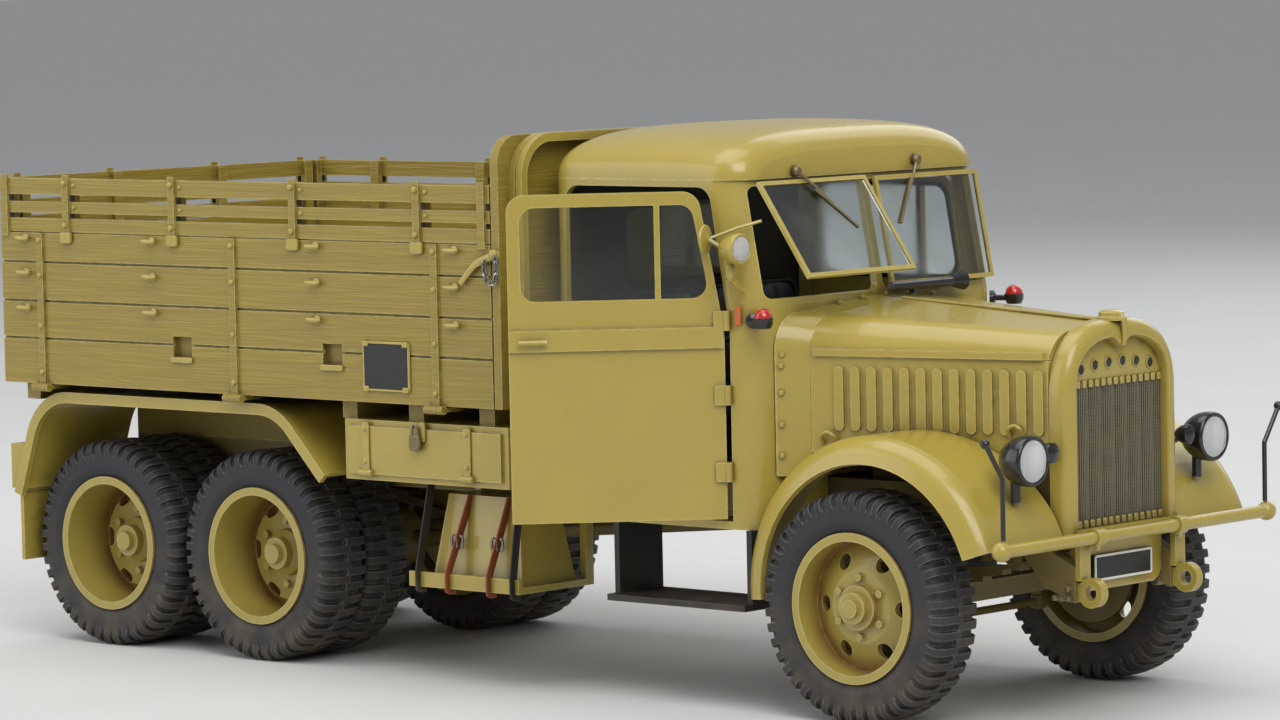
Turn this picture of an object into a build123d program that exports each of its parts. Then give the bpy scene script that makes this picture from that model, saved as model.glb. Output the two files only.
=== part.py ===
"""Six-wheeled cargo truck, a 1:35 display model: steel cab and bonnet, wooden drop-side body.

Frame: +X forward, +Y to the truck's left, +Z up, origin on the floor below mid-length.
All sizes are the model's own, in millimetres.
"""
from math import cos, radians, sin, sqrt
import os

from build123d import *

os.makedirs("parts", exist_ok=True)

# Running gear
TYRE_R = 14.0                # to the tips of the lugs
TYRE_W = 7.5
FRONT_AXLE_X = 62.5
MID_AXLE_X = -40.3
REAR_AXLE_X = -69.5
FRONT_TYRE_Y = 23.4          # middle of the single front tyre
TWIN_TYRE_Y = (15.0, 22.75)  # middles of the inner and outer rear tyres
RIM_R = 8.5                  # bead seat
RIM_T = 0.45
FIT = 0.05                   # radial clearance of pins, spindles and seated tyres
RUN = 0.3                    # clearance between bodies that move past each other
SPINDLE_R = 1.2
KINGPIN_Y = 18.4
KINGPIN_R = 0.7
STEER_ARM = 7.0              # kingpin to track rod, straight back
STEER_ARM_Z = 10.6
AXLE_R = 1.8

# Frame
RAIL_Y = 9.5
RAIL_W = 2.2
RAIL_T = 0.6
RAIL_Z0 = 22.5
RAIL_Z1 = 27.5
RAIL_REAR_X = -80.0
RAIL_NOSE_X = 83.6
RAIL_NOSE_Z = (14.4, 18.6)

# Wooden body
BED_REAR_X = -85.0
BED_FRONT_X = 9.2
BED_HALF_W = 30.3
BOARD_T = 1.8
FLOOR_Z = 37.4               # load surface
FLOOR_T = 1.6
SIDE_Z0 = 35.8
SIDE_SEAM_Z = 56.4           # top of the plank wall, foot of the slatted raves
SIDE_Z1 = 63.8
HEADBOARD_T = 1.3
HEADBOARD_Z1 = 70.1
HINGE_R = 0.55

# Cab
CAB_REAR_X = 12.3
CAB_FRONT_X = 46.0
CAB_HALF_W = 24.0
CAB_WALL = 0.9
CAB_Z0 = 22.0
BELT_Z = 46.4
EAVES_Z = 64.6
ROOF_Z = 71.0
SCREEN_TOP_X = 43.0
SCREEN_FOOT_Z = 49.2
SCREEN_TOP_Z = 63.9

# Doors
DOOR_HINGE_X = 41.3
DOOR_REAR_X = 15.0
DOOR_Z0 = 23.3
DOOR_Z1 = 63.4
DOOR_T = 1.1
DOOR_GAP = 0.35
DOOR_OPEN = 45.0             # the right door stands open by this angle

# Bonnet and radiator
BONNET_REAR_X = 49.5
BONNET_FRONT_X = 80.4
BONNET_REAR_HW = 18.2
BONNET_FRONT_HW = 11.2
BONNET_Z0 = 31.4
BONNET_SEAM_Z = 43.2
BONNET_REAR_Z = 49.2
BONNET_FRONT_Z = 47.4
SHEET = 0.8
SHELL_FRONT_X = 83.2
SHELL_HW = 11.2
GRILLE_HW = 9.1
GRILLE_Z0 = 22.8
GRILLE_Z1 = 42.2

RIGHT = -1
LEFT = 1
SIDES = (("right", RIGHT), ("left", LEFT))


def write(builder, name):
    """Label one finished piece and write it under its own name."""
    builder.part.label = name
    export_step(builder.part, f"parts/{name}.step")


def block(x, y, z, mode=Mode.ADD):
    """Add a box given by its low and high faces along X, Y and Z."""
    (x0, x1), (y0, y1), (z0, z1) = (sorted(pair) for pair in (x, y, z))
    with Locations(((x0 + x1) / 2, (y0 + y1) / 2, (z0 + z1) / 2)):
        Box(x1 - x0, y1 - y0, z1 - z0, mode=mode)


def rod(start, end, radius, mode=Mode.ADD):
    """Add a round bar from one point to another."""
    start, end = Vector(*start), Vector(*end)
    with Locations(Plane(origin=(start + end) / 2, z_dir=end - start)):
        Cylinder(radius, (end - start).length, mode=mode)


def side_view(y):
    """Drawing plane across the truck at y, with X to the right and Z up."""
    return Plane.XZ.offset(-y)


def end_view(x):
    """Drawing plane along the truck at x, with Y to the right and Z up."""
    return Plane.YZ.offset(x)


def wheel_plane(x, side):
    """Plane through an axle: distance from the centreline to the right, radius up."""
    return Plane(origin=(x, 0, TYRE_R), x_dir=(0, side, 0), z_dir=(side, 0, 0))


def wheel_axis(x):
    """Axis that the wheels at x turn on."""
    return Axis((x, 0, TYRE_R), (0, 1, 0))


# Tyres: bulged sidewalls and a flat tread out to the lug tips
def tyre_profile(middle):
    """Section of one tyre about its own middle."""
    half = TYRE_W / 2
    shoulder = TYRE_R - 0.9
    with BuildSketch() as profile:
        with BuildLine():
            right = ThreePointArc((middle + half - 1.0, RIM_R + FIT), (middle + half, 11.2),
                                  (middle + half - 0.35, shoulder))
            left = ThreePointArc((middle - half + 1.0, RIM_R + FIT), (middle - half, 11.2),
                                 (middle - half + 0.35, shoulder))
            Polyline(right @ 1, (middle + half - 1.3, TYRE_R), (middle - half + 1.3, TYRE_R), left @ 1)
            Line(left @ 0, right @ 0)
        make_face()
    return profile.sketch


FRONT_WHEELS = [(f"front_{name}", FRONT_AXLE_X, side) for name, side in SIDES]
REAR_WHEELS = [(f"{axle}_{name}", x, side)
               for axle, x in (("mid", MID_AXLE_X), ("rear", REAR_AXLE_X)) for name, side in SIDES]

for place, x, side in FRONT_WHEELS:
    with BuildPart() as tyre:
        with BuildSketch(wheel_plane(x, side)):
            add(tyre_profile(FRONT_TYRE_Y))
        revolve(axis=wheel_axis(x))
    write(tyre, f"tyre_{place}")

for place, x, side in REAR_WHEELS:
    with BuildPart() as tyre:
        for middle in TWIN_TYRE_Y:
            with BuildSketch(wheel_plane(x, side)):
                add(tyre_profile(middle))
            revolve(axis=wheel_axis(x))
    write(tyre, f"tyres_{place}")

# Front wheels: bulged disc with six round holes, ring of nuts and a stepped hub cap
FLANGE_R = 9.1
FLANGE_T = 0.4
DISC_T = 0.8
DISC_HOLES = 6
NUTS = 6
NUT_R = 0.5
FRONT_RIM_Y = (FRONT_TYRE_Y - TYRE_W / 2 + 0.5, FRONT_TYRE_Y + TYRE_W / 2 - 0.5)
FRONT_DISC_Y = FRONT_RIM_Y[1] - 1.6     # disc face at the hub
HUB_CAP = ((2.7, 0.9), (1.9, 1.7), (1.1, 2.2))   # radius, reach beyond the disc
BARREL_R = RIM_R - RIM_T


def rim_barrel(y0, y1):
    """Thin drum under the tyre with a flange at each end."""
    with BuildSketch() as profile:
        with BuildLine():
            Polyline((y0 - FLANGE_T, BARREL_R), (y1 + FLANGE_T, BARREL_R), (y1 + FLANGE_T, FLANGE_R),
                     (y1 + FIT, FLANGE_R), (y1 + FIT, RIM_R), (y0 - FIT, RIM_R), (y0 - FIT, FLANGE_R),
                     (y0 - FLANGE_T, FLANGE_R), close=True)
        make_face()
    return profile.sketch


def around(x, side, y, radius, count, turn=0.0):
    """Places round a wheel's axis, in a plane that faces outwards at distance y."""
    face = Plane(origin=(x, side * y, TYRE_R), x_dir=(-side, 0, 0), z_dir=(0, side, 0))
    return face, PolarLocations(radius, count, turn)


for place, x, side in FRONT_WHEELS:
    face_y = FRONT_DISC_Y
    with BuildPart() as rim:
        with BuildSketch(wheel_plane(x, side)):
            add(rim_barrel(*FRONT_RIM_Y))
        with BuildSketch(wheel_plane(x, side)):
            with BuildLine():
                Polyline((face_y - 1.6, BARREL_R), (face_y - 0.5, 5.4), (face_y, 4.4),
                         (face_y, SPINDLE_R + FIT), (face_y - 3.6, SPINDLE_R + FIT), (face_y - 3.6, 2.4),
                         (face_y - DISC_T, 2.4), (face_y - DISC_T, 4.4), (face_y - 1.3, 5.2),
                         (face_y - 1.6 - DISC_T, BARREL_R), close=True)
            make_face()
        with BuildSketch(wheel_plane(x, side)):
            with BuildLine():
                Polyline((face_y, 0), (face_y, HUB_CAP[0][0]),
                         (face_y + HUB_CAP[0][1], HUB_CAP[0][0]), (face_y + HUB_CAP[0][1], HUB_CAP[1][0]),
                         (face_y + HUB_CAP[1][1], HUB_CAP[1][0]), (face_y + HUB_CAP[1][1], HUB_CAP[2][0]),
                         (face_y + HUB_CAP[2][1], HUB_CAP[2][0]), (face_y + HUB_CAP[2][1], 0), close=True)
            make_face()
        revolve(axis=wheel_axis(x))
        face, holes = around(x, side, face_y + 0.5, 6.0, DISC_HOLES)
        with BuildSketch(face):
            with holes:
                Circle(1.0)
        extrude(amount=-4, mode=Mode.SUBTRACT)
        face, nuts = around(x, side, face_y - 0.2, 3.6, NUTS, 30)
        with BuildSketch(face):
            with nuts:
                RegularPolygon(NUT_R, 6)
        extrude(amount=0.7)
    write(rim, f"rim_{place}")

# Rear wheels: deep dish between the twin tyres, oval holes, long hub with a brake drum inside
REAR_RIM_Y = (TWIN_TYRE_Y[0] - TYRE_W / 2 + 0.5, TWIN_TYRE_Y[1] + TYRE_W / 2 - 0.5)
REAR_DISC_Y = sum(TWIN_TYRE_Y) / 2
REAR_HUB_Y = REAR_DISC_Y + 4.6
DRUM_R = 6.4
DRUM_Y = REAR_RIM_Y[0] - 0.2
REAR_SPINDLE_Y = REAR_DISC_Y + 2.0

for place, x, side in REAR_WHEELS:
    disc_y = REAR_DISC_Y
    with BuildPart() as rim:
        with BuildSketch(wheel_plane(x, side)):
            add(rim_barrel(*REAR_RIM_Y))
        with BuildSketch(wheel_plane(x, side)):
            with BuildLine():
                Polyline((disc_y, BARREL_R), (disc_y + 1.4, 6.4), (disc_y + 1.4, 3.2),
                         (disc_y + 2.2, 3.0), (disc_y + 2.8, 2.2), (REAR_HUB_Y - 0.7, 2.1),
                         (REAR_HUB_Y - 0.7, 1.4), (REAR_HUB_Y, 1.2), (REAR_HUB_Y, 0),
                         (REAR_SPINDLE_Y, 0), (REAR_SPINDLE_Y, SPINDLE_R + FIT),
                         (DRUM_Y, SPINDLE_R + FIT), (DRUM_Y, DRUM_R), (disc_y - 0.6, DRUM_R),
                         (disc_y - DISC_T, BARREL_R), close=True)
            make_face()
        revolve(axis=wheel_axis(x))
        face, holes = around(x, side, disc_y + 2.0, 6.1, DISC_HOLES)
        with BuildSketch(face):
            with holes:
                SlotOverall(2.6, 1.5, rotation=90)
        extrude(amount=-2.3, mode=Mode.SUBTRACT)
        face, nuts = around(x, side, disc_y + 1.3, 4.3, NUTS, 30)
        with BuildSketch(face):
            with nuts:
                RegularPolygon(NUT_R, 6)
        extrude(amount=0.8)
    write(rim, f"rim_{place}")

# Frame: two channel rails that sweep down to the nose, with cross members between them
RAIL_IN = RAIL_Y - RAIL_W / 2
RAIL_OUT = RAIL_Y + RAIL_W / 2
CROSS_X = (-78.0, -55.0, -24.0, 8.0, 28.0)
CROSS_W = 2.0
JAW_X = RAIL_REAR_X          # rear tow jaw behind the last cross member
JAW_Z = (RAIL_Z0 + RAIL_Z1) / 2
JAW_BORE_R = 0.8
GLUE = 0.02                  # seam between two pieces that are glued together

with BuildPart() as chassis_frame:
    for side in (RIGHT, LEFT):
        with BuildSketch(side_view(side * RAIL_Y)):
            with BuildLine():
                Polyline((RAIL_REAR_X, RAIL_Z0), (73.5, RAIL_Z0), (79.0, RAIL_NOSE_Z[0] + 1.6),
                         (RAIL_NOSE_X, RAIL_NOSE_Z[0]), (RAIL_NOSE_X, RAIL_NOSE_Z[1]),
                         (80.5, RAIL_NOSE_Z[1] + 1.4), (75.0, RAIL_Z1), (RAIL_REAR_X, RAIL_Z1), close=True)
            make_face()
        extrude(amount=RAIL_W / 2, both=True)
        block((RAIL_REAR_X, 66), (side * (RAIL_IN - 1), side * (RAIL_OUT - RAIL_T)),
              (RAIL_Z0 + RAIL_T, RAIL_Z1 - RAIL_T), Mode.SUBTRACT)
    for x in CROSS_X:
        block((x - CROSS_W / 2, x + CROSS_W / 2), (-RAIL_OUT + RAIL_T + GLUE, RAIL_OUT - RAIL_T - GLUE),
              (RAIL_Z0 + RAIL_T + GLUE, RAIL_Z1 - RAIL_T - GLUE))
    block((JAW_X - 1.6, CROSS_X[0]), (-2.2, 2.2), (JAW_Z - 1.8, JAW_Z + 1.8))
    for z in (JAW_Z - 1.3, JAW_Z + 1.3):
        block((JAW_X - 4.4, JAW_X - 1.6), (-1.6, 1.6), (z - 0.5, z + 0.5))
    rod((JAW_X - 3.2, 0, JAW_Z - 3), (JAW_X - 3.2, 0, JAW_Z + 3), JAW_BORE_R, Mode.SUBTRACT)
write(chassis_frame, "chassis_frame")

# Front axle: dropped beam with a fork and kingpin at each end
BEAM_Z = (12.6, 15.0)
BEAM_HALF_T = 1.2
FORK_Y = KINGPIN_Y - 1.8
FORK_T = 1.0
BOSS_R = 1.4
BOSS_Z = (11.7, 16.3)
LUG_T = 1.2
LUG_GAP = 0.12

with BuildPart() as front_axle:
    block((FRONT_AXLE_X - BEAM_HALF_T, FRONT_AXLE_X + BEAM_HALF_T), (-FORK_Y, FORK_Y), BEAM_Z)
    for side in (RIGHT, LEFT):
        low, high = BOSS_Z[0] - LUG_GAP, BOSS_Z[1] + LUG_GAP
        block((FRONT_AXLE_X - BEAM_HALF_T, FRONT_AXLE_X + BEAM_HALF_T),
              (side * (FORK_Y - FORK_T), side * FORK_Y), (low - LUG_T, high + LUG_T))
        for z in ((low - LUG_T, low), (high, high + LUG_T)):
            block((FRONT_AXLE_X - BEAM_HALF_T, FRONT_AXLE_X + BEAM_HALF_T),
                  (side * (FORK_Y - FORK_T), side * KINGPIN_Y), z)
            with Locations((FRONT_AXLE_X, side * KINGPIN_Y, sum(z) / 2)):
                Cylinder(BEAM_HALF_T, LUG_T)
        rod((FRONT_AXLE_X, side * KINGPIN_Y, low - LUG_T / 2),
            (FRONT_AXLE_X, side * KINGPIN_Y, high + LUG_T / 2), KINGPIN_R)
write(front_axle, "front_axle")

# Steering knuckles: boss on the kingpin, backplate, spindle and an arm to the track rod
BACKPLATE_Y = KINGPIN_Y + 2.2
BACKPLATE_R = 6.6
BACKPLATE_T = 0.7
SPINDLE_END_Y = FRONT_DISC_Y - 0.4
ARM_R = 0.55
TIE_X = FRONT_AXLE_X - STEER_ARM
TIE_PIN_R = 0.4
TIE_PIN_Z = (STEER_ARM_Z - 1.9, STEER_ARM_Z)
ARM_LEVEL = BOSS_Z[0] + ARM_R

for name, side in SIDES:
    with BuildPart() as knuckle:
        with Locations((FRONT_AXLE_X, side * KINGPIN_Y, sum(BOSS_Z) / 2)):
            Cylinder(BOSS_R, BOSS_Z[1] - BOSS_Z[0])
        rod((FRONT_AXLE_X, side * KINGPIN_Y, TYRE_R), (FRONT_AXLE_X, side * SPINDLE_END_Y, TYRE_R), SPINDLE_R)
        rod((FRONT_AXLE_X, side * BACKPLATE_Y, TYRE_R),
            (FRONT_AXLE_X, side * (BACKPLATE_Y - BACKPLATE_T), TYRE_R), BACKPLATE_R)
        rod((FRONT_AXLE_X - 0.5, side * KINGPIN_Y, ARM_LEVEL), (TIE_X, side * KINGPIN_Y, ARM_LEVEL), ARM_R)
        rod((TIE_X, side * KINGPIN_Y, TIE_PIN_Z[0]), (TIE_X, side * KINGPIN_Y, ARM_LEVEL + ARM_R), 0.8)
        rod((TIE_X, side * KINGPIN_Y, TIE_PIN_Z[0]), (TIE_X, side * KINGPIN_Y, STEER_ARM_Z), 1.2,
            Mode.SUBTRACT)
        rod((TIE_X, side * KINGPIN_Y, TIE_PIN_Z[0]), (TIE_X, side * KINGPIN_Y, ARM_LEVEL), TIE_PIN_R)
        rod((FRONT_AXLE_X, side * KINGPIN_Y, BOSS_Z[0]), (FRONT_AXLE_X, side * KINGPIN_Y, BOSS_Z[1]),
            KINGPIN_R + FIT, Mode.SUBTRACT)
    write(knuckle, f"knuckle_{name}")

# Track rod between the knuckle arms, behind the axle
TIE_EYE_R = 0.9
TIE_EYE_Z = (STEER_ARM_Z - 1.7, STEER_ARM_Z - 0.1)
with BuildPart() as track_rod:
    middle = sum(TIE_EYE_Z) / 2
    rod((TIE_X, -KINGPIN_Y, middle), (TIE_X, KINGPIN_Y, middle), 0.5)
    for side in (RIGHT, LEFT):
        rod((TIE_X, side * KINGPIN_Y, TIE_EYE_Z[0]), (TIE_X, side * KINGPIN_Y, TIE_EYE_Z[1]), TIE_EYE_R)
    for side in (RIGHT, LEFT):
        rod((TIE_X, side * KINGPIN_Y, TIE_EYE_Z[0]), (TIE_X, side * KINGPIN_Y, TIE_EYE_Z[1]),
            TIE_PIN_R + FIT, Mode.SUBTRACT)
write(track_rod, "track_rod")

# Rear axles: tubes with round differential housings, spindles into the wheel hubs, prop shafts
ENGINE = ((50.0, 78.0), 7.2, (20.0, 41.0))      # x, half width, z
GEARBOX = ((32.0, 50.0), 5.0, (19.0, 26.6))
SHAFT_R = 0.9
SHAFT_Z = 20.4               # where the shaft leaves the gearbox
DIFF_R = 4.2
DIFF_W = 5.0
AXLE_END_Y = DRUM_Y - 0.4
with BuildPart() as rear_axles:
    for x in (MID_AXLE_X, REAR_AXLE_X):
        rod((x, -AXLE_END_Y, TYRE_R), (x, AXLE_END_Y, TYRE_R), AXLE_R)
        rod((x, -REAR_SPINDLE_Y + 0.3, TYRE_R), (x, REAR_SPINDLE_Y - 0.3, TYRE_R), SPINDLE_R)
        with Locations((x, 0, TYRE_R)):
            Sphere(DIFF_R)
    rod((MID_AXLE_X - DIFF_R - GLUE, 0, TYRE_R), (REAR_AXLE_X + DIFF_R + GLUE, 0, TYRE_R), SHAFT_R)
    shaft_start = Vector(GEARBOX[0][0] - 0.3, 0, SHAFT_Z)
    shaft_end = Vector(MID_AXLE_X, 0, TYRE_R)
    shaft_end += (shaft_start - shaft_end).normalized() * (DIFF_R + GLUE)
    rod(shaft_start.to_tuple(), shaft_end.to_tuple(), SHAFT_R)
write(rear_axles, "rear_axles")

# Leaf springs: each pack is a stack of arched leaves that shorten away from the long one
LEAF_T = 0.6
LEAF_W = 1.7


def leaf(x_mid, half, y, z_mid, camber):
    """One leaf: an arched strip, its ends raised above its middle by the camber."""
    with BuildPart() as strip:
        with BuildSketch(side_view(y)):
            with BuildLine():
                low = ThreePointArc((x_mid - half, z_mid + camber), (x_mid, z_mid),
                                    (x_mid + half, z_mid + camber))
                top = ThreePointArc((x_mid - half, z_mid + camber + LEAF_T), (x_mid, z_mid + LEAF_T),
                                    (x_mid + half, z_mid + camber + LEAF_T))
                Line(low @ 0, top @ 0)
                Line(low @ 1, top @ 1)
            make_face()
        extrude(amount=LEAF_W / 2, both=True)
    return strip.part


FRONT_SPRING_Y = RAIL_Y
FRONT_LEAVES = ((4.2, 0.14), (7.0, 0.4), (10.0, 0.82), (13.0, 1.4))   # half length, camber, lowest first
FRONT_SEAT_Z = BEAM_Z[1]
with BuildPart() as leaf_springs:
    for side in (RIGHT, LEFT):
        for step, (half, camber) in enumerate(FRONT_LEAVES):
            add(leaf(FRONT_AXLE_X, half, side * FRONT_SPRING_Y, FRONT_SEAT_Z + step * LEAF_T, camber))
        block((FRONT_AXLE_X - 1.6, FRONT_AXLE_X + 1.6),
              (side * (FRONT_SPRING_Y - 1.3), side * (FRONT_SPRING_Y + 1.3)),
              (FRONT_SEAT_Z, FRONT_SEAT_Z + len(FRONT_LEAVES) * LEAF_T + 0.5))
        block((FRONT_AXLE_X - 13.4, FRONT_AXLE_X - 12.2), (side * (RAIL_Y - 0.85), side * (RAIL_Y + 0.85)),
              (FRONT_SEAT_Z + 3.0, RAIL_Z0))
        block((FRONT_AXLE_X + 11.6, FRONT_AXLE_X + 12.8), (side * (RAIL_Y - 0.85), side * (RAIL_Y + 0.85)),
              (FRONT_SEAT_Z + 2.7, RAIL_Z0 - 2.1))

BOGIE_X = (MID_AXLE_X + REAR_AXLE_X) / 2
REAR_LEAVES = ((16.4, -1.9), (12.5, -1.1), (8.5, -0.5), (5.0, -0.16))   # half length, camber, lowest first
REAR_LEAF_Z = 17.9
with leaf_springs:
    for side in (RIGHT, LEFT):
        for step, (half, camber) in enumerate(REAR_LEAVES):
            add(leaf(BOGIE_X, half, side * RAIL_Y, REAR_LEAF_Z + step * LEAF_T, camber))
        block((BOGIE_X - 2.2, BOGIE_X + 2.2), (side * (RAIL_Y - 1.1), side * (RAIL_Y + 1.1)),
              (REAR_LEAF_Z - 1.0, RAIL_Z0))
        for x in (MID_AXLE_X, REAR_AXLE_X):
            block((x - 1.0, x + 1.0), (side * (RAIL_Y - 0.85), side * (RAIL_Y + 0.85)),
                  (TYRE_R + AXLE_R + 0.02, REAR_LEAF_Z - 1.0))
    rod((BOGIE_X, -RAIL_OUT, REAR_LEAF_Z - 1.6), (BOGIE_X, RAIL_OUT, REAR_LEAF_Z - 1.6), 1.2)
write(leaf_springs, "leaf_springs")

# Wooden body: floor on bearers
SIDE_IN = BED_HALF_W - BOARD_T
WALL_GAP = 0.25
HEADBOARD_X = BED_FRONT_X - HEADBOARD_T
GATE_IN_X = BED_REAR_X + BOARD_T
FLOOR_EDGE = SIDE_IN - WALL_GAP
BEARER_Z = RAIL_Z1 + 5.9
BEARERS = ((4.5, FLOOR_EDGE), (-8.0, FLOOR_EDGE), (-20.0, FLOOR_EDGE), (-36.0, RAIL_OUT),
           (-55.0, RAIL_OUT), (-70.0, RAIL_OUT), (-81.5, FLOOR_EDGE))    # x, half length
BEARER_W = 2.6
WALL_HINGES_X = (-76.9, -39.1, -2.1)
WALL_HINGE = (BED_HALF_W + 0.55, SIDE_Z0 - 0.45)       # distance from the centreline, height
GATE_HINGES_Y = (-20.0, 0.0, 20.0)
GATE_HINGE_X = BED_REAR_X - 0.55
STRAP_W = 1.2
STRAP_T = 0.35
EYE_W = 0.9
PIN_R = 0.28


def wall_hinge_bracket(plane, reach):
    """Bracket under the floor edge with two eyes and the pin, its pin along the plane's X."""
    half = STRAP_W / 2 + 0.1
    with BuildPart(plane) as bracket:
        for sign in (-1, 1):
            with Locations((sign * (half + EYE_W / 2), 0, 0)):
                Cylinder(HINGE_R, EYE_W, rotation=(0, 90, 0))
            with Locations((sign * (half + EYE_W / 2), reach / 2, 0)):
                Box(EYE_W, reach, 0.5)
        Cylinder(PIN_R, 2 * half + EYE_W, rotation=(0, 90, 0))
        with Locations((0, reach - 0.75, 0.225)):
            Box(2 * half + 2 * EYE_W, 1.5, 0.45)
    return bracket.part


with BuildPart() as bed_floor:
    block((GATE_IN_X + WALL_GAP, HEADBOARD_X), (-FLOOR_EDGE, FLOOR_EDGE), (FLOOR_Z - FLOOR_T, FLOOR_Z))
    for x, half in BEARERS:
        block((x - BEARER_W / 2, x + BEARER_W / 2), (-half, half), (BEARER_Z, FLOOR_Z - FLOOR_T))
    for side in (RIGHT, LEFT):
        block((RAIL_REAR_X, HEADBOARD_X), (side * RAIL_IN, side * RAIL_OUT), (RAIL_Z1, BEARER_Z))
        for x in WALL_HINGES_X:
            add(wall_hinge_bracket(Plane(origin=(x, side * WALL_HINGE[0], WALL_HINGE[1]),
                                         x_dir=(side, 0, 0), z_dir=(0, 0, 1)).rotated((0, 0, 180)), 3.6))
    for y in GATE_HINGES_Y:
        hinge = Plane(origin=(GATE_HINGE_X, y, WALL_HINGE[1]), x_dir=(0, -1, 0), z_dir=(0, 0, 1))
        add(wall_hinge_bracket(hinge, 3.6))
write(bed_floor, "bed_floor")

# Drop sides and tailgate: plank wall with iron straps, slatted raves above
PLANK_JOINTS_Z = (42.0, 47.1, 52.4)
GROOVE = 0.3
SLATS_Z = ((56.55, 58.4), (59.1, 60.65), (61.6, SIDE_Z1))
SLAT_T = 0.9
POST_W = 1.5
SIDE_POSTS_X = (-83.8, -71.4, -50.4, -27.5, -5.0, 6.4)
HAND_HOLES_X = (-49.2, -20.9)
HAND_HOLE_W = 3.6
HAND_HOLE_Z = (39.9, 43.1)


def plank_wall(length, posts, straps, holes):
    """Wall in its own plane: X along it, Y up from its foot, Z out of its outer face."""
    height = SIDE_SEAM_Z - SIDE_Z0
    with BuildPart() as wall:
        with Locations((0, height / 2, -BOARD_T / 2)):
            Box(length, height, BOARD_T)
        for z in PLANK_JOINTS_Z:
            with Locations((0, z - SIDE_Z0, 0)):
                Box(length, GROOVE, 2 * GROOVE, mode=Mode.SUBTRACT)
        for x in holes:
            with Locations((x, sum(HAND_HOLE_Z) / 2 - SIDE_Z0, 0)):
                Box(HAND_HOLE_W, HAND_HOLE_Z[1] - HAND_HOLE_Z[0], BOARD_T, mode=Mode.SUBTRACT)
        for low, high in SLATS_Z:
            with Locations((0, (low + high) / 2 - SIDE_Z0, -SLAT_T / 2)):
                Box(length, high - low, SLAT_T)
        for x in posts:
            with Locations((x, (SIDE_Z1 + SIDE_SEAM_Z) / 2 - SIDE_Z0 - 1.5,
                            -BOARD_T + (BOARD_T - SLAT_T) / 2)):
                Box(POST_W, SIDE_Z1 - SIDE_SEAM_Z + 3.0, BOARD_T - SLAT_T)
            with Locations((x, (SIDE_Z1 + SIDE_SEAM_Z) / 2 - SIDE_Z0, STRAP_T / 2)):
                Box(STRAP_W, SIDE_Z1 - SIDE_SEAM_Z + 1.0, STRAP_T)
        for x in straps:
            foot = WALL_HINGE[1] - SIDE_Z0
            with Locations((x, (height + foot) / 2, STRAP_T / 2)):
                Box(STRAP_W, height - foot, STRAP_T)
            with Locations((x, foot, WALL_HINGE[0] - BED_HALF_W)):
                Cylinder(HINGE_R, STRAP_W, rotation=(0, 90, 0))
                Cylinder(PIN_R + FIT, STRAP_W, rotation=(0, 90, 0), mode=Mode.SUBTRACT)
    return wall.part


SIDE_X = (BED_REAR_X, HEADBOARD_X - WALL_GAP)
SIDE_MID_X = sum(SIDE_X) / 2
for name, side in SIDES:
    outward = Plane(origin=(SIDE_MID_X, side * BED_HALF_W, SIDE_Z0), x_dir=(-side, 0, 0), z_dir=(0, side, 0))
    places = [[-side * (x - SIDE_MID_X) for x in row] for row in (SIDE_POSTS_X, WALL_HINGES_X, HAND_HOLES_X)]
    with BuildPart(outward) as drop_side:
        add(plank_wall(SIDE_X[1] - SIDE_X[0], *places))
    write(drop_side, f"side_{name}")

GATE_HALF = SIDE_IN - WALL_GAP
GATE_POSTS_Y = (-GATE_HALF + 1.2, -10.0, 10.0, GATE_HALF - 1.2)
with BuildPart(Plane(origin=(BED_REAR_X, 0, SIDE_Z0), x_dir=(0, -1, 0), z_dir=(-1, 0, 0))) as tailgate:
    add(plank_wall(2 * GATE_HALF, GATE_POSTS_Y, GATE_HINGES_Y, ()))
write(tailgate, "tailgate")

# Headboard with rounded top corners, and the two tilt hoops stowed against it
CORNER_R = 3.5
with BuildPart() as headboard:
    with BuildSketch(end_view(HEADBOARD_X)):
        with Locations((0, (SIDE_Z0 + HEADBOARD_Z1) / 2)):
            Rectangle(2 * BED_HALF_W, HEADBOARD_Z1 - SIDE_Z0)
        fillet(vertices().group_by(Axis.Y)[-1], CORNER_R)
    extrude(amount=HEADBOARD_T)
write(headboard, "headboard")

HOOP_T = 0.95
HOOP_W = 1.1
HOOP_HALF_W = 27.6
HOOP_Z = (38.0, 69.7)
HOOP_GAP = 0.15
HOOP_R = 5.0
with BuildPart() as hoops:
    for row in (0, 1):
        with BuildSketch(end_view(BED_FRONT_X + row * (HOOP_T + HOOP_GAP))):
            with BuildLine():
                FilletPolyline((-HOOP_HALF_W, HOOP_Z[0]), (-HOOP_HALF_W, HOOP_Z[1]),
                               (HOOP_HALF_W, HOOP_Z[1]), (HOOP_HALF_W, HOOP_Z[0]), radius=HOOP_R)
            trace(line_width=HOOP_W)
        extrude(amount=HOOP_T)
write(hoops, "hoops")

# Cab: body with pillars, door openings, windscreen and rear light, floor, domed roof
REAR_CORNER_R = 2.5
FRONT_CORNER_R = 4.5
OPENING_REAR_X = DOOR_REAR_X - DOOR_GAP
OPENING_Z = (DOOR_Z0 - DOOR_GAP, DOOR_Z1 + DOOR_GAP)
DOOR_SLANT = 3.0             # the front edge leans back by this much from belt to top
DOOR_CORNER_R = 2.2
SCREEN_HALF_W = 21.6
SCREEN_BAR = 1.2
REAR_LIGHT = (22.0, 9.0, 55.5)     # width, height, middle height
CAB_FLOOR_Z = (RAIL_Z1 + 0.3, RAIL_Z1 + 1.3)
TUNNEL_Y = RAIL_OUT + 0.5          # the frame passes below the floor


CAB_MID_X = (CAB_REAR_X + CAB_FRONT_X) / 2


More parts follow.
